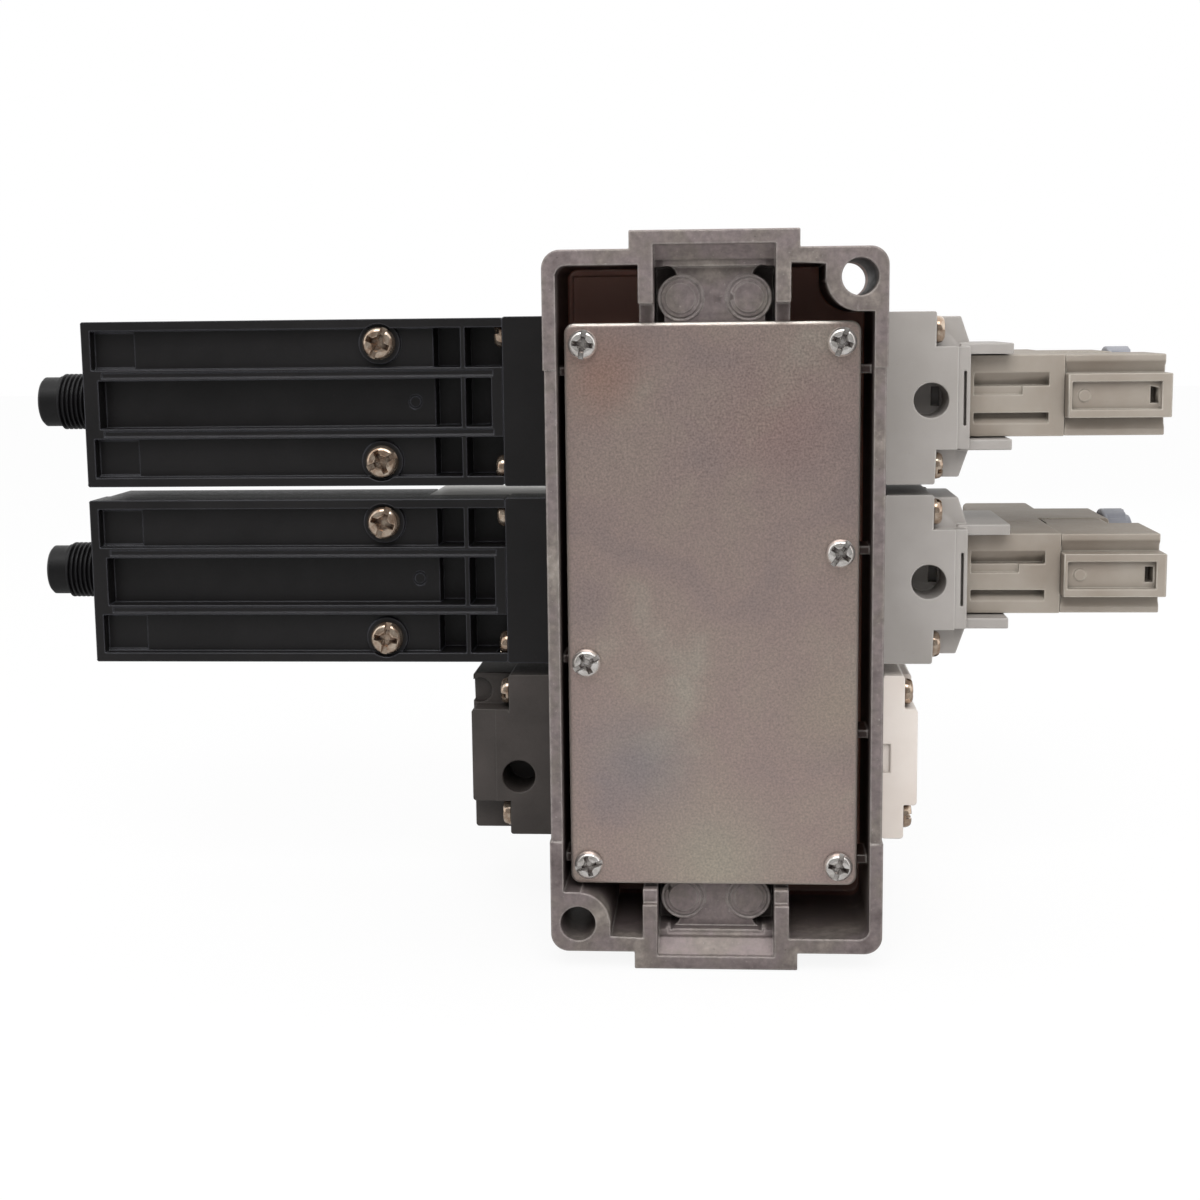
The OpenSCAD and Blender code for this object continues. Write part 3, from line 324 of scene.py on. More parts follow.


# Plastics: grain is the mould's texture, drawn a little coarser than life so that it shows.
# What a look doesn't name is taken from the usual one
# an edge colour paints highlights on the edges, a crease colour paints shade in the creases
usualPlastic = {"dustMm": 3.2, "dusty": 0.25, "edgeMm": 0.35, "rub": 0.5, "grimeMm": 2.2, "griminess": 0.8,
                "bump": 0.25, "reliefMm": 0.05, "ior": 1.5}
plasticLooks = {
    # glass filled nylon, moulded: near black satin, painted cold grey highlights on the edges
    "blackNylon": {"dark": "#0c0a0b", "light": "#131112", "grime": "#050404", "dust": "#3a3638",
                   "edge": "#4c4d54", "cloudMm": 14, "grainMm": 0.35, "roughness": (0.36, 0.52),
                   "rub": 0.85, "dusty": 0.2},
    # the same nylon aged: dusty brownish black without shine
    "dullNylon": {"dark": "#37322f", "light": "#433d3a", "grime": "#120f0e", "dust": "#5a5450",
                  "edge": "#5c5854", "cloudMm": 12, "grainMm": 0.35, "roughness": (0.5, 0.66)},
    # turned nylon of the plugs: the deepest black, faint painted highlights on the edges
    "turnedNylon": {"dark": "#060506", "light": "#0b0a0b", "grime": "#040303", "dust": "#2c2a2b",
                    "edge": "#222126", "cloudMm": 9, "grainMm": 0.35, "roughness": (0.40, 0.56),
                    "dusty": 0.1, "ior": 1.45},
    # phenolic moulding: dark brown, a little mottled
    "brownPhenolic": {"dark": "#1c1715", "light": "#282120", "grime": "#0c0908", "dust": "#4c443e",
                      "edge": "#4a423c", "cloudMm": 9, "grainMm": 0.5, "roughness": (0.42, 0.6), "ior": 1.6},
    # moulded ABS: even light grey, pale painted highlights on the edges
    "greyAbs": {"dark": "#96918c", "light": "#a19c98", "grime": "#4b4540", "dust": "#6f6963",
                "edge": "#d5d1cc", "cloudMm": 22, "grainMm": 0.4, "roughness": (0.40, 0.55), "rub": 0.6,
                "dusty": 0.22, "ior": 1.53},
    # mineral filled polyamide: dull olive grey with pale painted highlights on the edges
    "olivePolyamide": {"dark": "#897f74", "light": "#968e84", "grime": "#3c362d", "dust": "#6d6556",
                       "edge": "#ddd6ca", "cloudMm": 18, "grainMm": 0.4, "roughness": (0.54, 0.70),
                       "rub": 0.75, "dusty": 0.22, "ior": 1.45},
    # acetal: warm white with a soft shine
    "ivoryAcetal": {"dark": "#e0d5cc", "light": "#e9e0d8", "grime": "#6b5f57", "dust": "#a39a92",
                    "edge": "#eee9e4", "cloudMm": 20, "grainMm": 0.4, "roughness": (0.30, 0.44), "rub": 0.4,
                    "dusty": 0.15, "ior": 1.48},
    # nylon of the glands: bluish slate grey
    "slateNylon": {"dark": "#7e8088", "light": "#8f9097", "grime": "#3b3c42", "dust": "#5a5b60",
                   "edge": "#b5b6bb", "cloudMm": 12, "grainMm": 0.4, "roughness": (0.36, 0.5), "ior": 1.53},
    # acetal of the buttons: amber with a soft shine
    "amberAcetal": {"dark": "#c07a1e", "light": "#d08c2c", "grime": "#5a3a10", "dust": "#7f5318",
                    "edge": "#e8b564", "cloudMm": 6, "grainMm": 0.3, "roughness": (0.28, 0.4), "ior": 1.48},
    # nitrile rubber: matt black, dusty
    "nitrileRubber": {"dark": "#1b1a1a", "light": "#252323", "grime": "#0d0c0c", "dust": "#4d4a47",
                      "edge": "#3a3836", "cloudMm": 8, "grainMm": 0.5, "roughness": (0.62, 0.8), "rub": 0.2,
                      "dusty": 0.3, "ior": 1.52},
}


def mouldedPlastic(name, ownLook):
    # injection moulded plastic: spark-eroded grain, faint flow clouds, dust, painted highlights on the edges
    # and painted shade in the creases
    look = {**usualPlastic, **ownLook}
    material, tree = newFinish(name)
    place = addNode(tree, "TexCoord").outputs["Object"]
    cloud = addNode(tree, "TexNoise", {"Vector": place, "Scale": perMm(look["cloudMm"]), "Detail": 4.0,
                                       "Roughness": 0.6})
    grain = addNode(tree, "TexNoise", {"Vector": place, "Scale": perMm(look["grainMm"]), "Detail": 2.0,
                                       "Roughness": 0.6})
    specks = addNode(tree, "TexVoronoi", {"Vector": place, "Scale": perMm(look["dustMm"]), "Randomness": 1.0})
    tone = addNode(tree, "ValToRGB", {"Fac": cloud}, stops=[(0.35, look["dark"]), (0.65, look["light"])])
    dust = addNode(tree, "ValToRGB", {"Fac": specks}, stops=[(0.02, look["dusty"]), (0.05, 0.0)])
    # painted highlight on the edges: where a rounded normal parts from the true one
    soft = addNode(tree, "Bevel", {"Radius": look["edgeMm"] * mm}, samples=4)
    flat = addNode(tree, "NewGeometry")
    turn = addNode(tree, "VectorMath", {0: soft, 1: flat.outputs["Normal"]}, operation="DOT_PRODUCT")
    rub = addNode(tree, "MapRange", {"Value": turn.outputs["Value"], "From Min": 0.995, "From Max": 0.88,
                                     "To Max": look["rub"]})
    # painted shade in the creases
    crease = addNode(tree, "AmbientOcclusion", {"Distance": look["grimeMm"] * mm}, samples=6)
    grime = addNode(tree, "MapRange", {"Value": crease.outputs["AO"], "From Min": 0.62, "From Max": 0.15,
                                       "To Max": look["griminess"]})
    colour = tone.outputs[0]
    for paint, mask in (("dust", dust), ("edge", rub), ("grime", grime)):
        layer = addNode(tree, "Mix", {6: colour, 7: look[paint], "Factor": mask}, data_type="RGBA")
        colour = layer.outputs[2]
    smooth, rough = look["roughness"]
    satin = addNode(tree, "MapRange", {**noiseSpan, "Value": grain, "To Min": smooth, "To Max": rough})
    bump = addNode(tree, "Bump", {"Height": grain, "Strength": look["bump"],
                                  "Distance": look["reliefMm"] * mm, "Normal": soft})
    shader = addNode(tree, "BsdfPrincipled", {"Base Color": colour, "Roughness": satin, "IOR": look["ior"],
                                              "Normal": bump})
    addNode(tree, "OutputMaterial", {"Surface": shader})
    return material


finishes = {"castAluminium": castAluminium(), "zincPlatedSteel": zincPlatedSteel()}
for finishName, finishLook in plasticLooks.items():
    finishes[finishName] = mouldedPlastic(finishName, finishLook)
for finishName, finishLook in metalLooks.items():
    finishes[finishName] = plainMetal(finishName, finishLook)

slotFinish = {
    "cast_aluminium": "castAluminium", "plated_steel": "zincPlatedSteel", "black_rubber": "nitrileRubber",
    "screw_steel": "nickelPlate", "body_aluminium": "blastedAluminium", "ground_steel": "groundSteel",
    "spring_steel": "springWire", "black_plastic": "blackNylon", "brown_plastic": "brownPhenolic",
    "ivory_plastic": "ivoryAcetal", "contact_brass": "turnedBrass", "grey_plastic": "greyAbs",
    "olive_plastic": "olivePolyamide", "gland_plastic": "slateNylon", "button_plastic": "amberAcetal",
}
# nodes whose finish isn't the usual one of their slot
ownFinish = {
    "soft_cap_black": "dullNylon", "connector_a": "turnedNylon", "connector_b": "turnedNylon",
    "bracket_screws": "yellowZinc", "side_screws": "yellowZinc",
}
nodeSlot = {row["node"]: row["material_slot"] for row in frame["record"]["subparts"]}
bodyOfNode = {name: body for body, names in frame["record"]["behaviour"]["bodies"].items() for name in names}
for nodeName, nodeObject in nodes.items():
    for materialSlot in nodeObject.material_slots:
        materialSlot.link = "OBJECT"
        materialSlot.material = finishes[slotFinish[nodeSlot[nodeName]]]
print("finishes made:", len(finishes))


def meshOf(bm, name):
    # a finished bmesh as a mesh
    mesh = bpy.data.meshes.new(name)
    bm.to_mesh(mesh)
    bm.free()
    return mesh


def mergeInto(target, source):
    # all of one bmesh added to another
    mesh = meshOf(source, "merged")
    target.from_mesh(mesh)
    bpy.data.meshes.remove(mesh)


def inScene(name, data):
    thing = bpy.data.objects.new(name, data)
    scene.collection.objects.link(thing)
    return thing


def addPiece(name, bm, standsFor, smoothBelow=38, evenNormals=True):
    # a finished mesh as a piece that takes the place of one CAD node
    bmesh.ops.recalc_face_normals(bm, faces=bm.faces)
    mesh = meshOf(bm, name)
    mesh.shade_smooth()
    mesh.set_sharp_from_angle(angle=math.radians(smoothBelow))
    mesh.materials.append(finishes[ownFinish.get(standsFor, slotFinish[nodeSlot[standsFor]])])
    piece = inScene(name, mesh)
    if evenNormals:
        weight = piece.modifiers.new("evenNormals", "WEIGHTED_NORMAL")
        weight.keep_sharp = True
    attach(piece, bodyOfNode[standsFor])
    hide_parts(standsFor)
    return piece


# Rounding: its radius in mm for the moulded, cast and machined pieces, and what counts as a sharp edge
edgeRounding = {
    "base": 0.22, "cover_plate": 0.50, "body_a": 0.30, "body_b": 0.30, "body_s": 0.30,
    "switch_adaptor_a": 0.25, "switch_adaptor_b": 0.25, "end_cap_a": 0.25, "end_cap_b": 0.25,
    "bracket_a": 0.16, "bracket_b": 0.16, "switch_body_a": 0.30, "switch_body_b": 0.30,
    "switch_cover_a": 0.45, "switch_cover_b": 0.45, "pilot_adapter_a": 0.25, "pilot_adapter_b": 0.25,
    "pilot_body_a": 0.20, "pilot_body_b": 0.20, "pilot_coil_a": 0.25, "pilot_coil_b": 0.25,
    "cable_plug_a": 0.45, "cable_plug_b": 0.45, "gland_a": 0.30, "gland_b": 0.30,
    "override_a": 0.25, "override_b": 0.25, "soft_cap_black": 0.30, "soft_cap_white": 0.30,
    "needle_bush": 0.25, "flow_knob": 0.20, "valve_screws": 0.25, "plunger_a": 0.3, "plunger_b": 0.3,
}
roundingLook = {
    "sharpAngle": 34, "flatAngle": 0.8, "shortest": 0.12, "weld": 0.002, "segments": 2,
    # shares of the radius that are tried in turn, tries at each, and how far from trouble the edges keep
    "shares": (1.0, 0.65, 0.4, 0.25), "tries": 7, "firstReach": 1.2, "moreReach": 0.5,
    # what counts as trouble: off the shape by this share of the radius, triangles that cover this much
    # more than their face, and small faces turned this far against the shape
    "offShape": 0.9, "overlap": 1.001, "turnedBack": -0.15, "smallFace": 6,
}
leastArea = 1e-12  # square metres; thinner slivers have no side to judge
barelyCrossed = -1e-18  # square metres times square metres; lines that only touch don't cross


def selfCrossings(face):
    # corners of a face at which its outline runs across itself
    corners = np.array([v.co for v in face.verts])
    across = face.normal.orthogonal().normalized()
    onFace = np.array([across, face.normal.cross(across)]).T
    a = corners @ onFace
    b = np.roll(a, -1, axis=0)

    def side(p, q, r):
        along, toward = q - p, r - p
        return along[..., 0] * toward[..., 1] - along[..., 1] * toward[..., 0]

    first, second, third, fourth = a[:, None], b[:, None], a[None], b[None]
    crossed = ((side(first, second, third) * side(first, second, fourth) < barelyCrossed)
               & (side(third, fourth, first) * side(third, fourth, second) < barelyCrossed))
    rows = set(np.nonzero(crossed.any(axis=1))[0].tolist())
    return [face.verts[k].co.copy() for k in rows | {(k + 1) % len(a) for k in rows}]


def troubleSpots(bm, tree, radius):
    # where the rounding stands off the shape, has folded over or crosses itself
    look = roundingLook
    spread = {}
    for loops in bm.calc_loop_triangles():
        a, b, c = (loop.vert.co for loop in loops)
        spread[loops[0].face] = spread.get(loops[0].face, 0) + (b - a).cross(c - a).length / 2
    spots = [v.co.copy() for v in bm.verts if tree.find_nearest(v.co)[3] > radius * look["offShape"]]
    for face in bm.faces:
        area = face.calc_area()
        if area < leastArea:
            continue
        if len(face.verts) > 3 and spread.get(face, 0) > area * look["overlap"] + 10 * leastArea:
            spots += selfCrossings(face)
        if len(face.verts) <= look["smallFace"]:
            _, normal, _, gap = tree.find_nearest(face.calc_center_median())
            if normal.dot(face.normal) < look["turnedBack"] and gap < radius:
                spots += [v.co.copy() for v in face.verts]
    return spots


def clearOf(edge, spared, reach):
    # whether a whole edge keeps this far from every spared spot
    if not spared:
        return True
    a, b = (v.co for v in edge.verts)
    steps = max(1, min(60, int((b - a).length / reach)))
    return all(spared.find(a.lerp(b, k / steps))[2] > reach for k in range(steps + 1))


def roundEdges(nodeName, width):
    # the CAD shape with its sharp edges rounded; edges beside a spot that folds or spikes stay as they are
    look = roundingLook
    flat, sharpest = math.radians(look["flatAngle"]), math.radians(look["sharpAngle"])
    plain = bmesh.new()
    plain.from_mesh(nodes[nodeName].data)
    bmesh.ops.remove_doubles(plain, verts=plain.verts, dist=look["weld"] * mm)
    tree = BVHTree.FromBMesh(plain)
    bmesh.ops.dissolve_limit(plain, angle_limit=flat, verts=plain.verts, edges=plain.edges)
    for share in look["shares"]:
        radius = width * share * mm
        spots, spared = [], None
        for attempt in range(look["tries"]):
            bm = plain.copy()
            reach = radius * (look["firstReach"] + look["moreReach"] * attempt)
            sharp = [e for e in bm.edges if len(e.link_faces) == 2 and e.calc_length() > look["shortest"] * mm
                     and e.calc_face_angle(0) > sharpest and clearOf(e, spared, reach)]
            bmesh.ops.bevel(bm, geom=sharp, offset=radius, offset_type="OFFSET", segments=look["segments"],
                            profile=0.5, affect="EDGES", clamp_overlap=False, loop_slide=False)
            bm.normal_update()
            found = troubleSpots(bm, tree, radius)
            if not found:
                plain.free()
                return bm, len(sharp), radius
            bm.free()
            spots += found
            spared = KDTree(len(spots))
            for k, spot in enumerate(spots):
                spared.insert(spot, k)
            spared.balance()
    return plain, 0, 0


for nodeName, width in edgeRounding.items():
    words = nodeName.split("_")
    pieceName = "castBase" if nodeName == "base" else words[0] + "".join(w.capitalize() for w in words[1:])
    roundedMesh, edgeCount, radius = roundEdges(nodeName, width)
    addPiece(pieceName, roundedMesh, nodeName)
    print("rounded", pieceName, edgeCount, "edges at", round(radius / mm, 3))


def latheInto(bm, profile, steps):
    # profile is (distance along +Y, radius) from end to end, turned about the Y axis
    rings = []
    for along, radius in profile:
        if radius < 1e-9:
            rings.append([bm.verts.new((0, along, 0))])
            continue
        rings.append([bm.verts.new((radius * math.cos(t), along, radius * math.sin(t)))
                      for t in (2 * math.pi * k / steps for k in range(steps))])
    for first, second in zip(rings, rings[1:]):
        for k in range(steps):
            here, beyond = k % len(first), (k + 1) % len(first)
            corners = [first[here], first[beyond], second[(k + 1) % len(second)], second[k % len(second)]]
            unique = list(dict.fromkeys(corners))
            if len(unique) > 2:
                bm.faces.new(unique)


def latheAlongX(bm, profile, steps, start):
    # the same, with the profile in mm and turned about a line along X; it runs towards -X from the start
    turned = bmesh.new()
    latheInto(turned, [(along * mm, radius * mm) for along, radius in profile], steps)
    quarterTurn = Matrix.Rotation(math.radians(90), 3, "Z")
    bmesh.ops.rotate(turned, verts=turned.verts, matrix=quarterTurn, cent=(0, 0, 0))
    bmesh.ops.translate(turned, verts=turned.verts, vec=Vector(start) * mm)
    mergeInto(bm, turned)


def cutWith(bm, cutters):
    # takes closed cutter meshes out of a closed mesh
    blanks = []
    for source in [bm] + cutters:
        bmesh.ops.recalc_face_normals(source, faces=source.faces)
        blanks.append(inScene("blank", meshOf(source, "blank")))
    body, tools = blanks[0], blanks[1:]
    for tool in tools:
        cut = body.modifiers.new("cut", "BOOLEAN")
        cut.operation = "DIFFERENCE"
        cut.solver = "EXACT"
        cut.object = tool
    bpy.context.view_layer.update()
    result = bmesh.new()
    result.from_mesh(body.evaluated_get(bpy.context.evaluated_depsgraph_get()).to_mesh())
    for thing in blanks:
        bpy.data.objects.remove(thing)
    return result


def taperedBox(halfTop, halfBottom, top, bottom):
    # a box along Y whose half sizes in X and Z change from top to bottom
    bm = bmesh.new()
    around = ((-1, -1), (1, -1), (1, 1), (-1, 1))
    corners = []
    for y, (hx, hz) in ((top, halfTop), (bottom, halfBottom)):
        corners.append([bm.verts.new((sx * hx, y, sz * hz)) for sx, sz in around])
    bm.faces.new(corners[0])
    bm.faces.new(corners[1][::-1])
    for k in range(4):
        bm.faces.new([corners[0][k], corners[1][k], corners[1][(k + 1) % 4], corners[0][(k + 1) % 4]])
    return bm


# Head of every screw, in shares of its height and radius: the profile runs from the middle of the top
# outwards, and the recesses have half widths. The heart is the square between the cross's arms
headLook = {
    "dome": [(-1, 0), (-1, 0.50), (-0.97, 0.68), (-0.88, 0.82), (-0.68, 0.93), (-0.36, 0.99), (-0.10, 1),
             (0, 0.96)],
    "crossLength": 0.76, "crossHeight": 0.70, "crossWidth": 0.17, "crossBottom": 0.46, "crossTaper": 0.8,
    "crossFloor": -0.06, "heart": (0.40, 0.16), "heartFloor": 0.02, "slotWidth": 0.185, "slotFloor": -0.36,
    "cutFrom": -1.05, "cutAcross": 1.2, "rimRounding": 0.055, "steps": 48,
}
# Its shank: the neck reaches into the thread, whose profile has shares of the pitch and of the radius
shankLook = {"neck": 0.9, "neckEnd": 0.3, "ridge": [(0, 0.86), (0.4, 1), (0.55, 1)],
             "threadFromMm": 0.4, "tip": (0.8, 0.5), "tipMm": 0.3, "steps": 20}


def combinationScrew(look):
    # pan head facing -Y with a cross recess, a slot through the whole head and a threaded shank
    r, h = look["headR"] * mm, look["headH"] * mm
    s, length, pitch = look["shankR"] * mm, look["shankL"] * mm, look["pitch"] * mm
    shape, shank = headLook, shankLook
    neck, neckEnd = shank["neck"] * s, shank["neckEnd"] * h
    head = bmesh.new()
    latheInto(head, [(up * h, out * r) for up, out in shape["dome"]]
              + [(0, neck), (neckEnd, neck), (neckEnd, 0)], shape["steps"])
    wing, bottom = shape["crossWidth"] * r, shape["crossBottom"] * r
    above, crossFloor = shape["cutFrom"] * h, shape["crossFloor"] * h
    narrow = wing * shape["crossTaper"]
    heartTop, heartBottom = (share * r for share in shape["heart"])
    slot = (shape["slotWidth"] * r, shape["cutAcross"] * r)
    heart = taperedBox((heartTop, heartTop), (heartBottom, heartBottom), above, shape["heartFloor"] * h)
    eighthTurn = Matrix.Rotation(math.radians(45), 3, "Y")
    bmesh.ops.rotate(heart, verts=heart.verts, matrix=eighthTurn, cent=(0, 0, 0))
    cut = cutWith(head, [
        taperedBox((shape["crossLength"] * r, wing), (bottom, narrow), above, crossFloor),
        taperedBox((wing, shape["crossHeight"] * r), (narrow, bottom), above, crossFloor),
        heart,
        taperedBox(slot, slot, above, shape["slotFloor"] * h),
    ])
    bmesh.ops.remove_doubles(cut, verts=cut.verts, dist=1e-6)
    bmesh.ops.dissolve_limit(cut, angle_limit=math.radians(0.8), verts=cut.verts, edges=cut.edges)
    rim = [e for e in cut.edges if len(e.link_faces) == 2 and e.calc_face_angle(0) > math.radians(40)
           and e.calc_length() > 0.1 * mm and e.verts[0].co.y < -0.3 * h]
    bmesh.ops.bevel(cut, geom=rim, offset=shape["rimRounding"] * r, offset_type="OFFSET", segments=2,
                    profile=0.5, affect="EDGES", clamp_overlap=True)
    # rolled thread as close ridges down the shank
    ridges = [(0.1 * mm, 0.0), (0.1 * mm, neck)]
    along = shank["threadFromMm"] * mm
    while along < length - pitch:
        ridges += [(along + step * pitch, share * s) for step, share in shank["ridge"]]
        along += pitch
    wide, blunt = (share * s for share in shank["tip"])
    ridges += [(length - shank["tipMm"] * mm, wide), (length, blunt), (length, 0)]
    latheInto(cut, ridges, shank["steps"])
    return cut


# Screws, in mm: a spot is its place, which way the head looks (0 back, 180 front, 90 right, -90 left),
# how far it is turned and, where a set has several lengths, the shank's length
plateLow, plateHigh = boxOf("cover_plate")
insetX, insetZ = 3.5, 3.85  # of the corner screws from the edges of the cover plate
coverLeft, coverRight, coverY = plateLow[0] + insetX, plateHigh[0] - insetX, plateLow[1]
coverFoot, coverTop = plateLow[2] + insetZ, plateHigh[2] - insetZ
bracketX, bracketY, bracketUp = -68.7, 38.4, 12.1
nearY, farY = 40.6, 67.4  # depth of the two rows of screws that hold caps and adapters
capRows = (-13.7, 13.7)  # their height from the middle of a detecting valve
softRows = (-13.1, 13.1)  # and of the soft start valve
capScrews = [(-43.3, nearY, z + d, -90, z + d * 3, 17.3) for z in detecting for d in capRows]
adaptorScrews = [(-42.0, farY, z + d, -90, 30, 16) for z in detecting for d in capRows]
pilotScrews = [(44.0, y, z + d, 90, turn - d * 2, 18)
               for z in detecting for d in capRows for y, turn in ((nearY, z), (farY, 15))]
blackCapScrews = [(-43.3, y, valveS + d, -90, y + d * 5, 17.3) for y in (nearY, farY) for d in softRows]
whiteCapScrews = [(38.6, y, valveS + d, 90, y - d * 4, 12.6) for y in (nearY, farY) for d in softRows]
screwSets = {
    "coverScrews": {
        "node": "cover_screws", "headR": 2.75, "headH": 2.0, "shankR": 1.45, "shankL": 9.0, "pitch": 0.5,
        "spots": [(coverLeft, coverY, coverTop, 0, 8), (coverRight, coverY, coverTop, 0, 20),
                  (coverRight, coverY, 10.2, 0, 35), (coverLeft, coverY, -10.5, 0, 62),
                  (coverLeft, coverY, coverFoot, 0, 75), (coverRight, coverY, coverFoot, 0, 15)]},
    "bracketScrews": {
        "node": "bracket_screws", "headR": 3.4, "headH": 2.3, "shankR": 1.95, "shankL": 16.6, "pitch": 0.7,
        "spots": [(bracketX, bracketY, z, 0, turn)
                  for z, turn in ((valveA + bracketUp, 25), (valveA - bracketUp, 65),
                                  (valveB + bracketUp, 20), (valveB - bracketUp, 10))]},
    "switchScrews": {
        "node": "switch_screws", "headR": 2.1, "headH": 1.6, "shankR": 1.2, "shankL": 8.0, "pitch": 0.4,
        "spots": [(x, 66.5, z + d, 180, x + d)
                  for z in detecting for x in (-125.5, -66.0) for d in (-12.8, 12.8)]},
    "plugScrews": {
        "node": "plug_screws", "headR": 2.9, "headH": 2.0, "shankR": 1.5, "shankL": 32.0, "pitch": 0.5,
        "spots": [(66.8, 111, valveA, 180, 30), (66.8, 111, valveB, 180, 70)]},
    "sideScrews": {
        "node": "side_screws", "headR": 2.75, "headH": 1.9, "shankR": 1.45, "pitch": 0.5,
        "spots": capScrews + adaptorScrews + pilotScrews + blackCapScrews + whiteCapScrews},
}


def placeScrews(name, look):
    # every screw of one node joined into one piece, the shortest first
    joined = bmesh.new()
    lengths = {spot: (spot[5] if len(spot) > 5 else look["shankL"]) for spot in look["spots"]}
    for shankL in sorted(set(lengths.values())):
        screw = combinationScrew({**look, "shankL": shankL})
        for spot in look["spots"]:
            if lengths[spot] != shankL:
                continue
            x, y, z, facing, turn = spot[:5]
            copy = screw.copy()
            copy.transform(Matrix.Translation(Vector((x, y, z)) * mm)
                           @ Matrix.Rotation(math.radians(facing), 4, "Z")
                           @ Matrix.Rotation(math.radians(turn), 4, "Y"))
            mergeInto(joined, copy)
        screw.free()
    addPiece(name, joined, look["node"], smoothBelow=32)
    print("screws", name, len(look["spots"]))


for setName, setLook in screwSets.items():
    placeScrews(setName, setLook)

# Plug connector, in mm out from the end face of the switch: the collar's profile is (distance, radius),
# and the thread's ridge has (share of the pitch, share of its height). A key has its half sizes
connectorLook = {
    "end": boxOf("bracket_a")[0][0], "core": 5.3, "nose": 15.4, "socketR": 4.3, "insert": 8.5, "around": 56,
    "collar": [(-9.0, 0), (-9.0, 4.95), (0.0, 4.95), (0.0, 6.9), (0.15, 6.9), (1.2, 6.9), (1.4, 6.7)],
    "threadFrom": 1.6, "crest": 6.0, "pitch": 1.0, "turns": 9.4, "sunk": 0.05, "runOut": 0.4,
    "ridge": [(0.05, 0), (0.36, 1), (0.60, 1), (0.92, 0)], "ridgeSteps": 36,
    "keyAt": 12.2, "keyHalf": (2.2, 0.7, 0.45), "keySunk": 0.3,
    "pinR": 0.5, "pinCircle": 2.0, "pinEnd": 13.5, "pinStart": -11, "pinTip": (0.7, 0.25, 0.36),
    "pinAround": 16,
}


def ridgeInto(bm, look, start):
    # one helical thread ridge that climbs towards -X, as a swept trapezium with closed ends
    x0, y0, z0 = start
    core, crest, pitch = (look["core"] - look["sunk"]) * mm, look["crest"] * mm, look["pitch"] * mm
    steps = look["ridgeSteps"]
    whole, runOut = look["turns"] * steps, look["runOut"] * steps
    rings = []
    for k in range(int(whole) + 1):
        angle = 2 * math.pi * k / steps
        fade = max(0.02, min(1.0, k / runOut, (whole - k) / runOut))
        ring = []
        for along, share in look["ridge"]:
            r = core + (crest - core) * share * fade
            x = x0 - (along + k / steps) * pitch
            ring.append(bm.verts.new((x, y0 + r * math.cos(angle), z0 + r * math.sin(angle))))
        rings.append(ring)
    for first, second in zip(rings, rings[1:]):
        for k in range(4):
            bm.faces.new([first[k], first[(k + 1) % 4], second[(k + 1) % 4], second[k]])
    bm.faces.new(rings[0][::-1])
    bm.faces.new(rings[-1])


def plugConnector(name, node, height):
    look = connectorLook
    end, core, nose, socketR = look["end"], look["core"], look["nose"], look["socketR"]
    shell = bmesh.new()
    latheAlongX(shell, look["collar"] + [
        (1.4, core), (nose - 0.5, core), (nose, core - 0.5), (nose, socketR + 0.25), (nose - 0.3, socketR),
        (look["insert"], socketR), (look["insert"], 0)], look["around"], (end, spoolDepth, height))
    ridgeInto(shell, look, ((end - look["threadFrom"]) * mm, spoolDepth * mm, height * mm))
    # key inside the socket that keeps the mating plug from turning
    half, side, rise = (size * mm for size in look["keyHalf"])
    key = taperedBox((half, side), (half, side), -rise, rise)
    keyHeight = height + socketR - look["keySunk"]
    for v in key.verts:
        x, y, z = v.co
        v.co = ((end - look["keyAt"]) * mm + x, spoolDepth * mm + z, keyHeight * mm + y)
    mergeInto(shell, key)
    addPiece(name, shell, node, smoothBelow=40)


plugConnector("plugConnectorA", "connector_a", valveA)
plugConnector("plugConnectorB", "connector_b", valveB)


def contactPins():
    look = connectorLook
    pinR, root, tip = look["pinR"], look["pinStart"], look["pinEnd"]
    taper, dome, domeR = look["pinTip"]
    profile = [(root, 0), (root, pinR), (tip - taper, pinR), (tip - dome, domeR), (tip, 0)]
    pins = bmesh.new()
    for height in detecting:
        for angle in (math.radians(45 + 90 * k) for k in range(4)):
            y = spoolDepth + look["pinCircle"] * math.cos(angle)
            z = height + look["pinCircle"] * math.sin(angle)
            latheAlongX(pins, profile, look["pinAround"], (look["end"], y, z))
    addPiece("contactPins", pins, "connector_pins", smoothBelow=40)


contactPins()
print("plug connectors made")

# Return springs, in mm: wire and coil are radii, and the closed turns at each end lie flat.
# One end sits at the spool, the other rests in the body
springLook = {"wire": 0.7, "coil": 6.6, "turns": 5.5, "closed": 0.75, "from": -33.85, "to": -21.3,
              "travel": 4.0, "steps": 28, "around": 8}


def returnSpring(name, node, height):
    look = springLook
    wire, turns, closed, around = look["wire"], look["turns"], look["closed"], look["around"]
    bm = bmesh.new()
    first, last = look["from"] + wire, look["to"] - wire
    total = int(turns * look["steps"])
    rings = []
    for k in range(total + 1):
        climb = min(1.0, max(0.0, (k / total * turns - closed) / (turns - 2 * closed)))
        x = first + (last - first) * climb
        angle = 2 * math.pi * k / look["steps"]
        ring = []
        for a in (2 * math.pi * j / around for j in range(around)):
            r = look["coil"] + wire * math.cos(a)
            y, z = spoolDepth + r * math.cos(angle), height + r * math.sin(angle)
            ring.append(bm.verts.new(((x + wire * math.sin(a)) * mm, y * mm, z * mm)))
        rings.append(ring)
    for ringA, ringB in zip(rings, rings[1:]):
        for j in range(around):
            bm.faces.new([ringA[j], ringA[(j + 1) % around], ringB[(j + 1) % around], ringB[j]])
    bm.faces.new(rings[0][::-1])
    bm.faces.new(rings[-1])
    piece = addPiece(name, bm, node, smoothBelow=50, evenNormals=False)
    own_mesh(piece)


returnSpring("returnSpringA", "spring_a", valveA)
returnSpring("returnSpringB", "spring_b", valveB)
returnSpring("returnSpringS", "spring_s", valveS)
print("springs made")

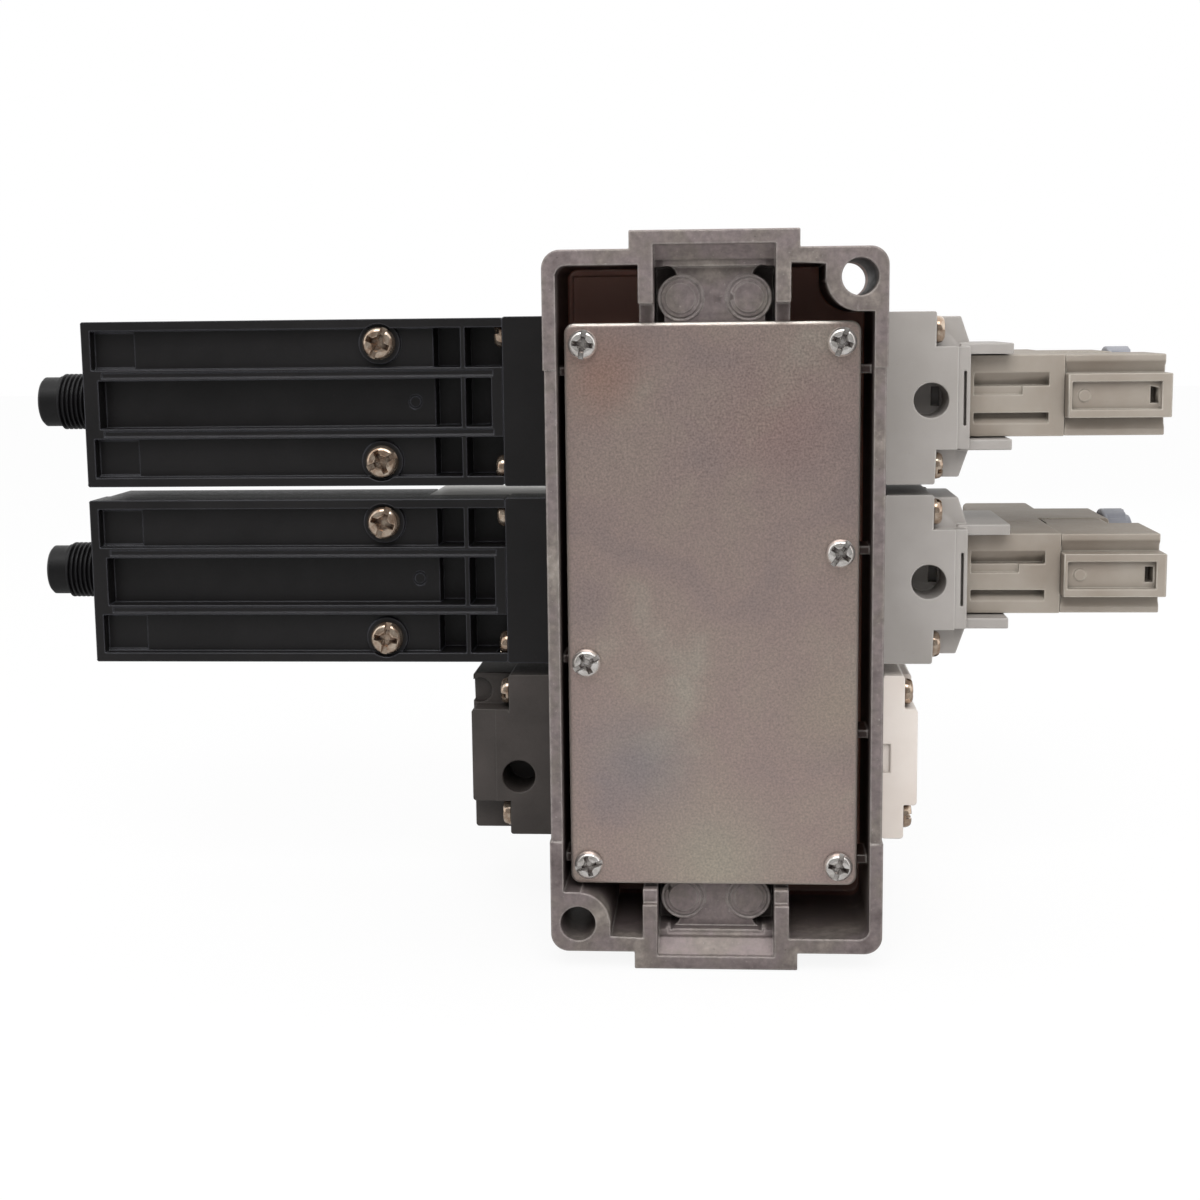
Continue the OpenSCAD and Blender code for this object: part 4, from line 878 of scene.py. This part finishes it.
# Camera: where the photograph was taken from, in mm, and its turn in degrees
cameraLook = {"place": (2.918, -347.42, 53.40), "yaw": 4.0, "down": 8.414, "roll": 0.643,
              "lens": 56.7, "sensor": 36, "clipFrom": 10}


def addCamera():
    look = cameraLook
    yaw, down, roll = (math.radians(look[k]) for k in ("yaw", "down", "roll"))
    ahead = Vector((-math.sin(yaw) * math.cos(down), math.cos(yaw) * math.cos(down), -math.sin(down)))
    level = Vector((math.cos(yaw), math.sin(yaw), 0))
    drop = ahead.cross(level)
    right = math.cos(roll) * level + math.sin(roll) * drop
    below = -math.sin(roll) * level + math.cos(roll) * drop
    camera = inScene("photoCamera", bpy.data.cameras.new("photoCamera"))
    camera.data.sensor_width = look["sensor"]
    camera.data.lens = look["lens"]
    camera.data.clip_start = look["clipFrom"] * mm
    turn = Matrix((right, -below, -ahead)).transposed().to_4x4()
    camera.matrix_world = Matrix.Translation(Vector(look["place"]) * mm) @ turn
    scene.camera = camera


addCamera()

# Studio, in metres: white seen by the camera and by gloss, a softer vault for the light itself
studioLook = {
    "floorZ": -0.0697, "floorSize": 3.0, "floorPaper": "#f0f0f0", "floorGlow": 0.9, "floorInGloss": 0.35,
    "zenith": 1.0, "horizon": 0.76, "nadir": 0.5,
    # place, the spot aimed at, side length and watts
    "softboxes": [("topBox", (0.0, -0.56, 0.48), (0.0, 0.03, 0.0), 0.5, 3.8),
                  ("backBox", (0.15, 0.75, 0.45), (0, 0, 0), 0.5, 0.8)],
    # cards on the viewer's side that only gloss sees: left and right end, low and high edge (y, z), strength
    "cards": [("darkCard", (-0.85, 0.75), (-0.46, -0.069), (-0.46, 0.46), 0.20),
              ("brightCard", (-0.30, 0.30), (-0.40, 0.50), (-0.16, 0.58), 4.4)],
}


def seenOrMirrored(tree):
    # the light path and a 1 for rays from the camera, from gloss and through glass
    path = addNode(tree, "LightPath")
    seen = addNode(tree, "Math", {0: path.outputs["Is Camera Ray"], 1: path.outputs["Is Glossy Ray"]},
                   operation="MAXIMUM")
    return path, addNode(tree, "Math", {0: seen, 1: path.outputs["Is Transmission Ray"]}, operation="MAXIMUM")


def addWorld(look):
    world = bpy.data.worlds.new("studio")
    scene.world = world
    world.use_nodes = True
    tree = world.node_tree
    tree.nodes.clear()
    _, seen = seenOrMirrored(tree)
    direction = addNode(tree, "TexCoord")
    height = addNode(tree, "SeparateXYZ", {0: direction.outputs["Generated"]})
    lift = addNode(tree, "MapRange", {"Value": height.outputs["Z"], "From Min": -1.0, "From Max": 1.0})
    vault = addNode(tree, "ValToRGB", {"Fac": lift},
                    stops=[(0.2, look["nadir"]), (0.5, look["horizon"]), (0.95, look["zenith"])])
    soft = addNode(tree, "Background", {"Color": vault, "Strength": 1.0})
    white = addNode(tree, "Background", {"Color": "#ffffff", "Strength": 1.0})
    both = addNode(tree, "MixShader", {0: seen, 1: soft, 2: white})
    addNode(tree, "OutputWorld", {"Surface": both})


def addSoftboxes(look):
    for name, place, aim, size, power in look["softboxes"]:
        light = bpy.data.lights.new(name, "AREA")
        light.size = size
        light.energy = power
        lamp = inScene(name, light)
        lamp.location = place
        lamp.visible_glossy = False
        lamp.rotation_euler = (Vector(aim) - Vector(place)).to_track_quat("-Z", "Y").to_euler()


def addFloor(look):
    # pale sweep under the part: white to the eye, still darkened by the part's own shadow
    sweep = bmesh.new()
    bmesh.ops.create_grid(sweep, x_segments=8, y_segments=8, size=look["floorSize"])
    bmesh.ops.translate(sweep, verts=sweep.verts, vec=(0, 0, look["floorZ"]))
    floor = inScene("paperSweep", meshOf(sweep, "paperSweep"))
    paper, tree = newFinish("whitePaper")
    path, seen = seenOrMirrored(tree)
    # gloss sees less of the glow than the eye does, since the part stands in its own shadow there
    dimmed = addNode(tree, "MapRange", {"Value": path.outputs["Is Glossy Ray"], "To Min": 1.0,
                                        "To Max": look["floorInGloss"]})
    share = addNode(tree, "Math", {0: seen, 1: look["floorGlow"]}, operation="MULTIPLY")
    matte = addNode(tree, "BsdfDiffuse", {"Color": look["floorPaper"]})
    glow = addNode(tree, "Emission", {"Color": "#ffffff", "Strength": dimmed})
    both = addNode(tree, "MixShader", {0: share, 1: matte, 2: glow})
    addNode(tree, "OutputMaterial", {"Surface": both})
    floor.data.materials.append(paper)


def addCards(look):
    # the dark card turns metal that faces the viewer deep, the bright one lights bevels and screw heads
    for name, (left, right), low, high, strength in look["cards"]:
        card = bmesh.new()
        card.faces.new([card.verts.new(corner) for corner in (
            (left, *low), (right, *low), (right, *high), (left, *high))])
        flag = inScene(name, meshOf(card, name))
        felt, tree = newFinish(name + "Felt")
        glow = addNode(tree, "Emission", {"Color": "#ffffff", "Strength": strength})
        addNode(tree, "OutputMaterial", {"Surface": glow})
        flag.data.materials.append(felt)
        for ray in ("camera", "diffuse", "shadow", "transmission", "volume_scatter"):
            setattr(flag, "visible_" + ray, False)


addWorld(studioLook)
addSoftboxes(studioLook)
addFloor(studioLook)
addCards(studioLook)
scene.view_settings.view_transform = "Standard"
print("camera and studio set")
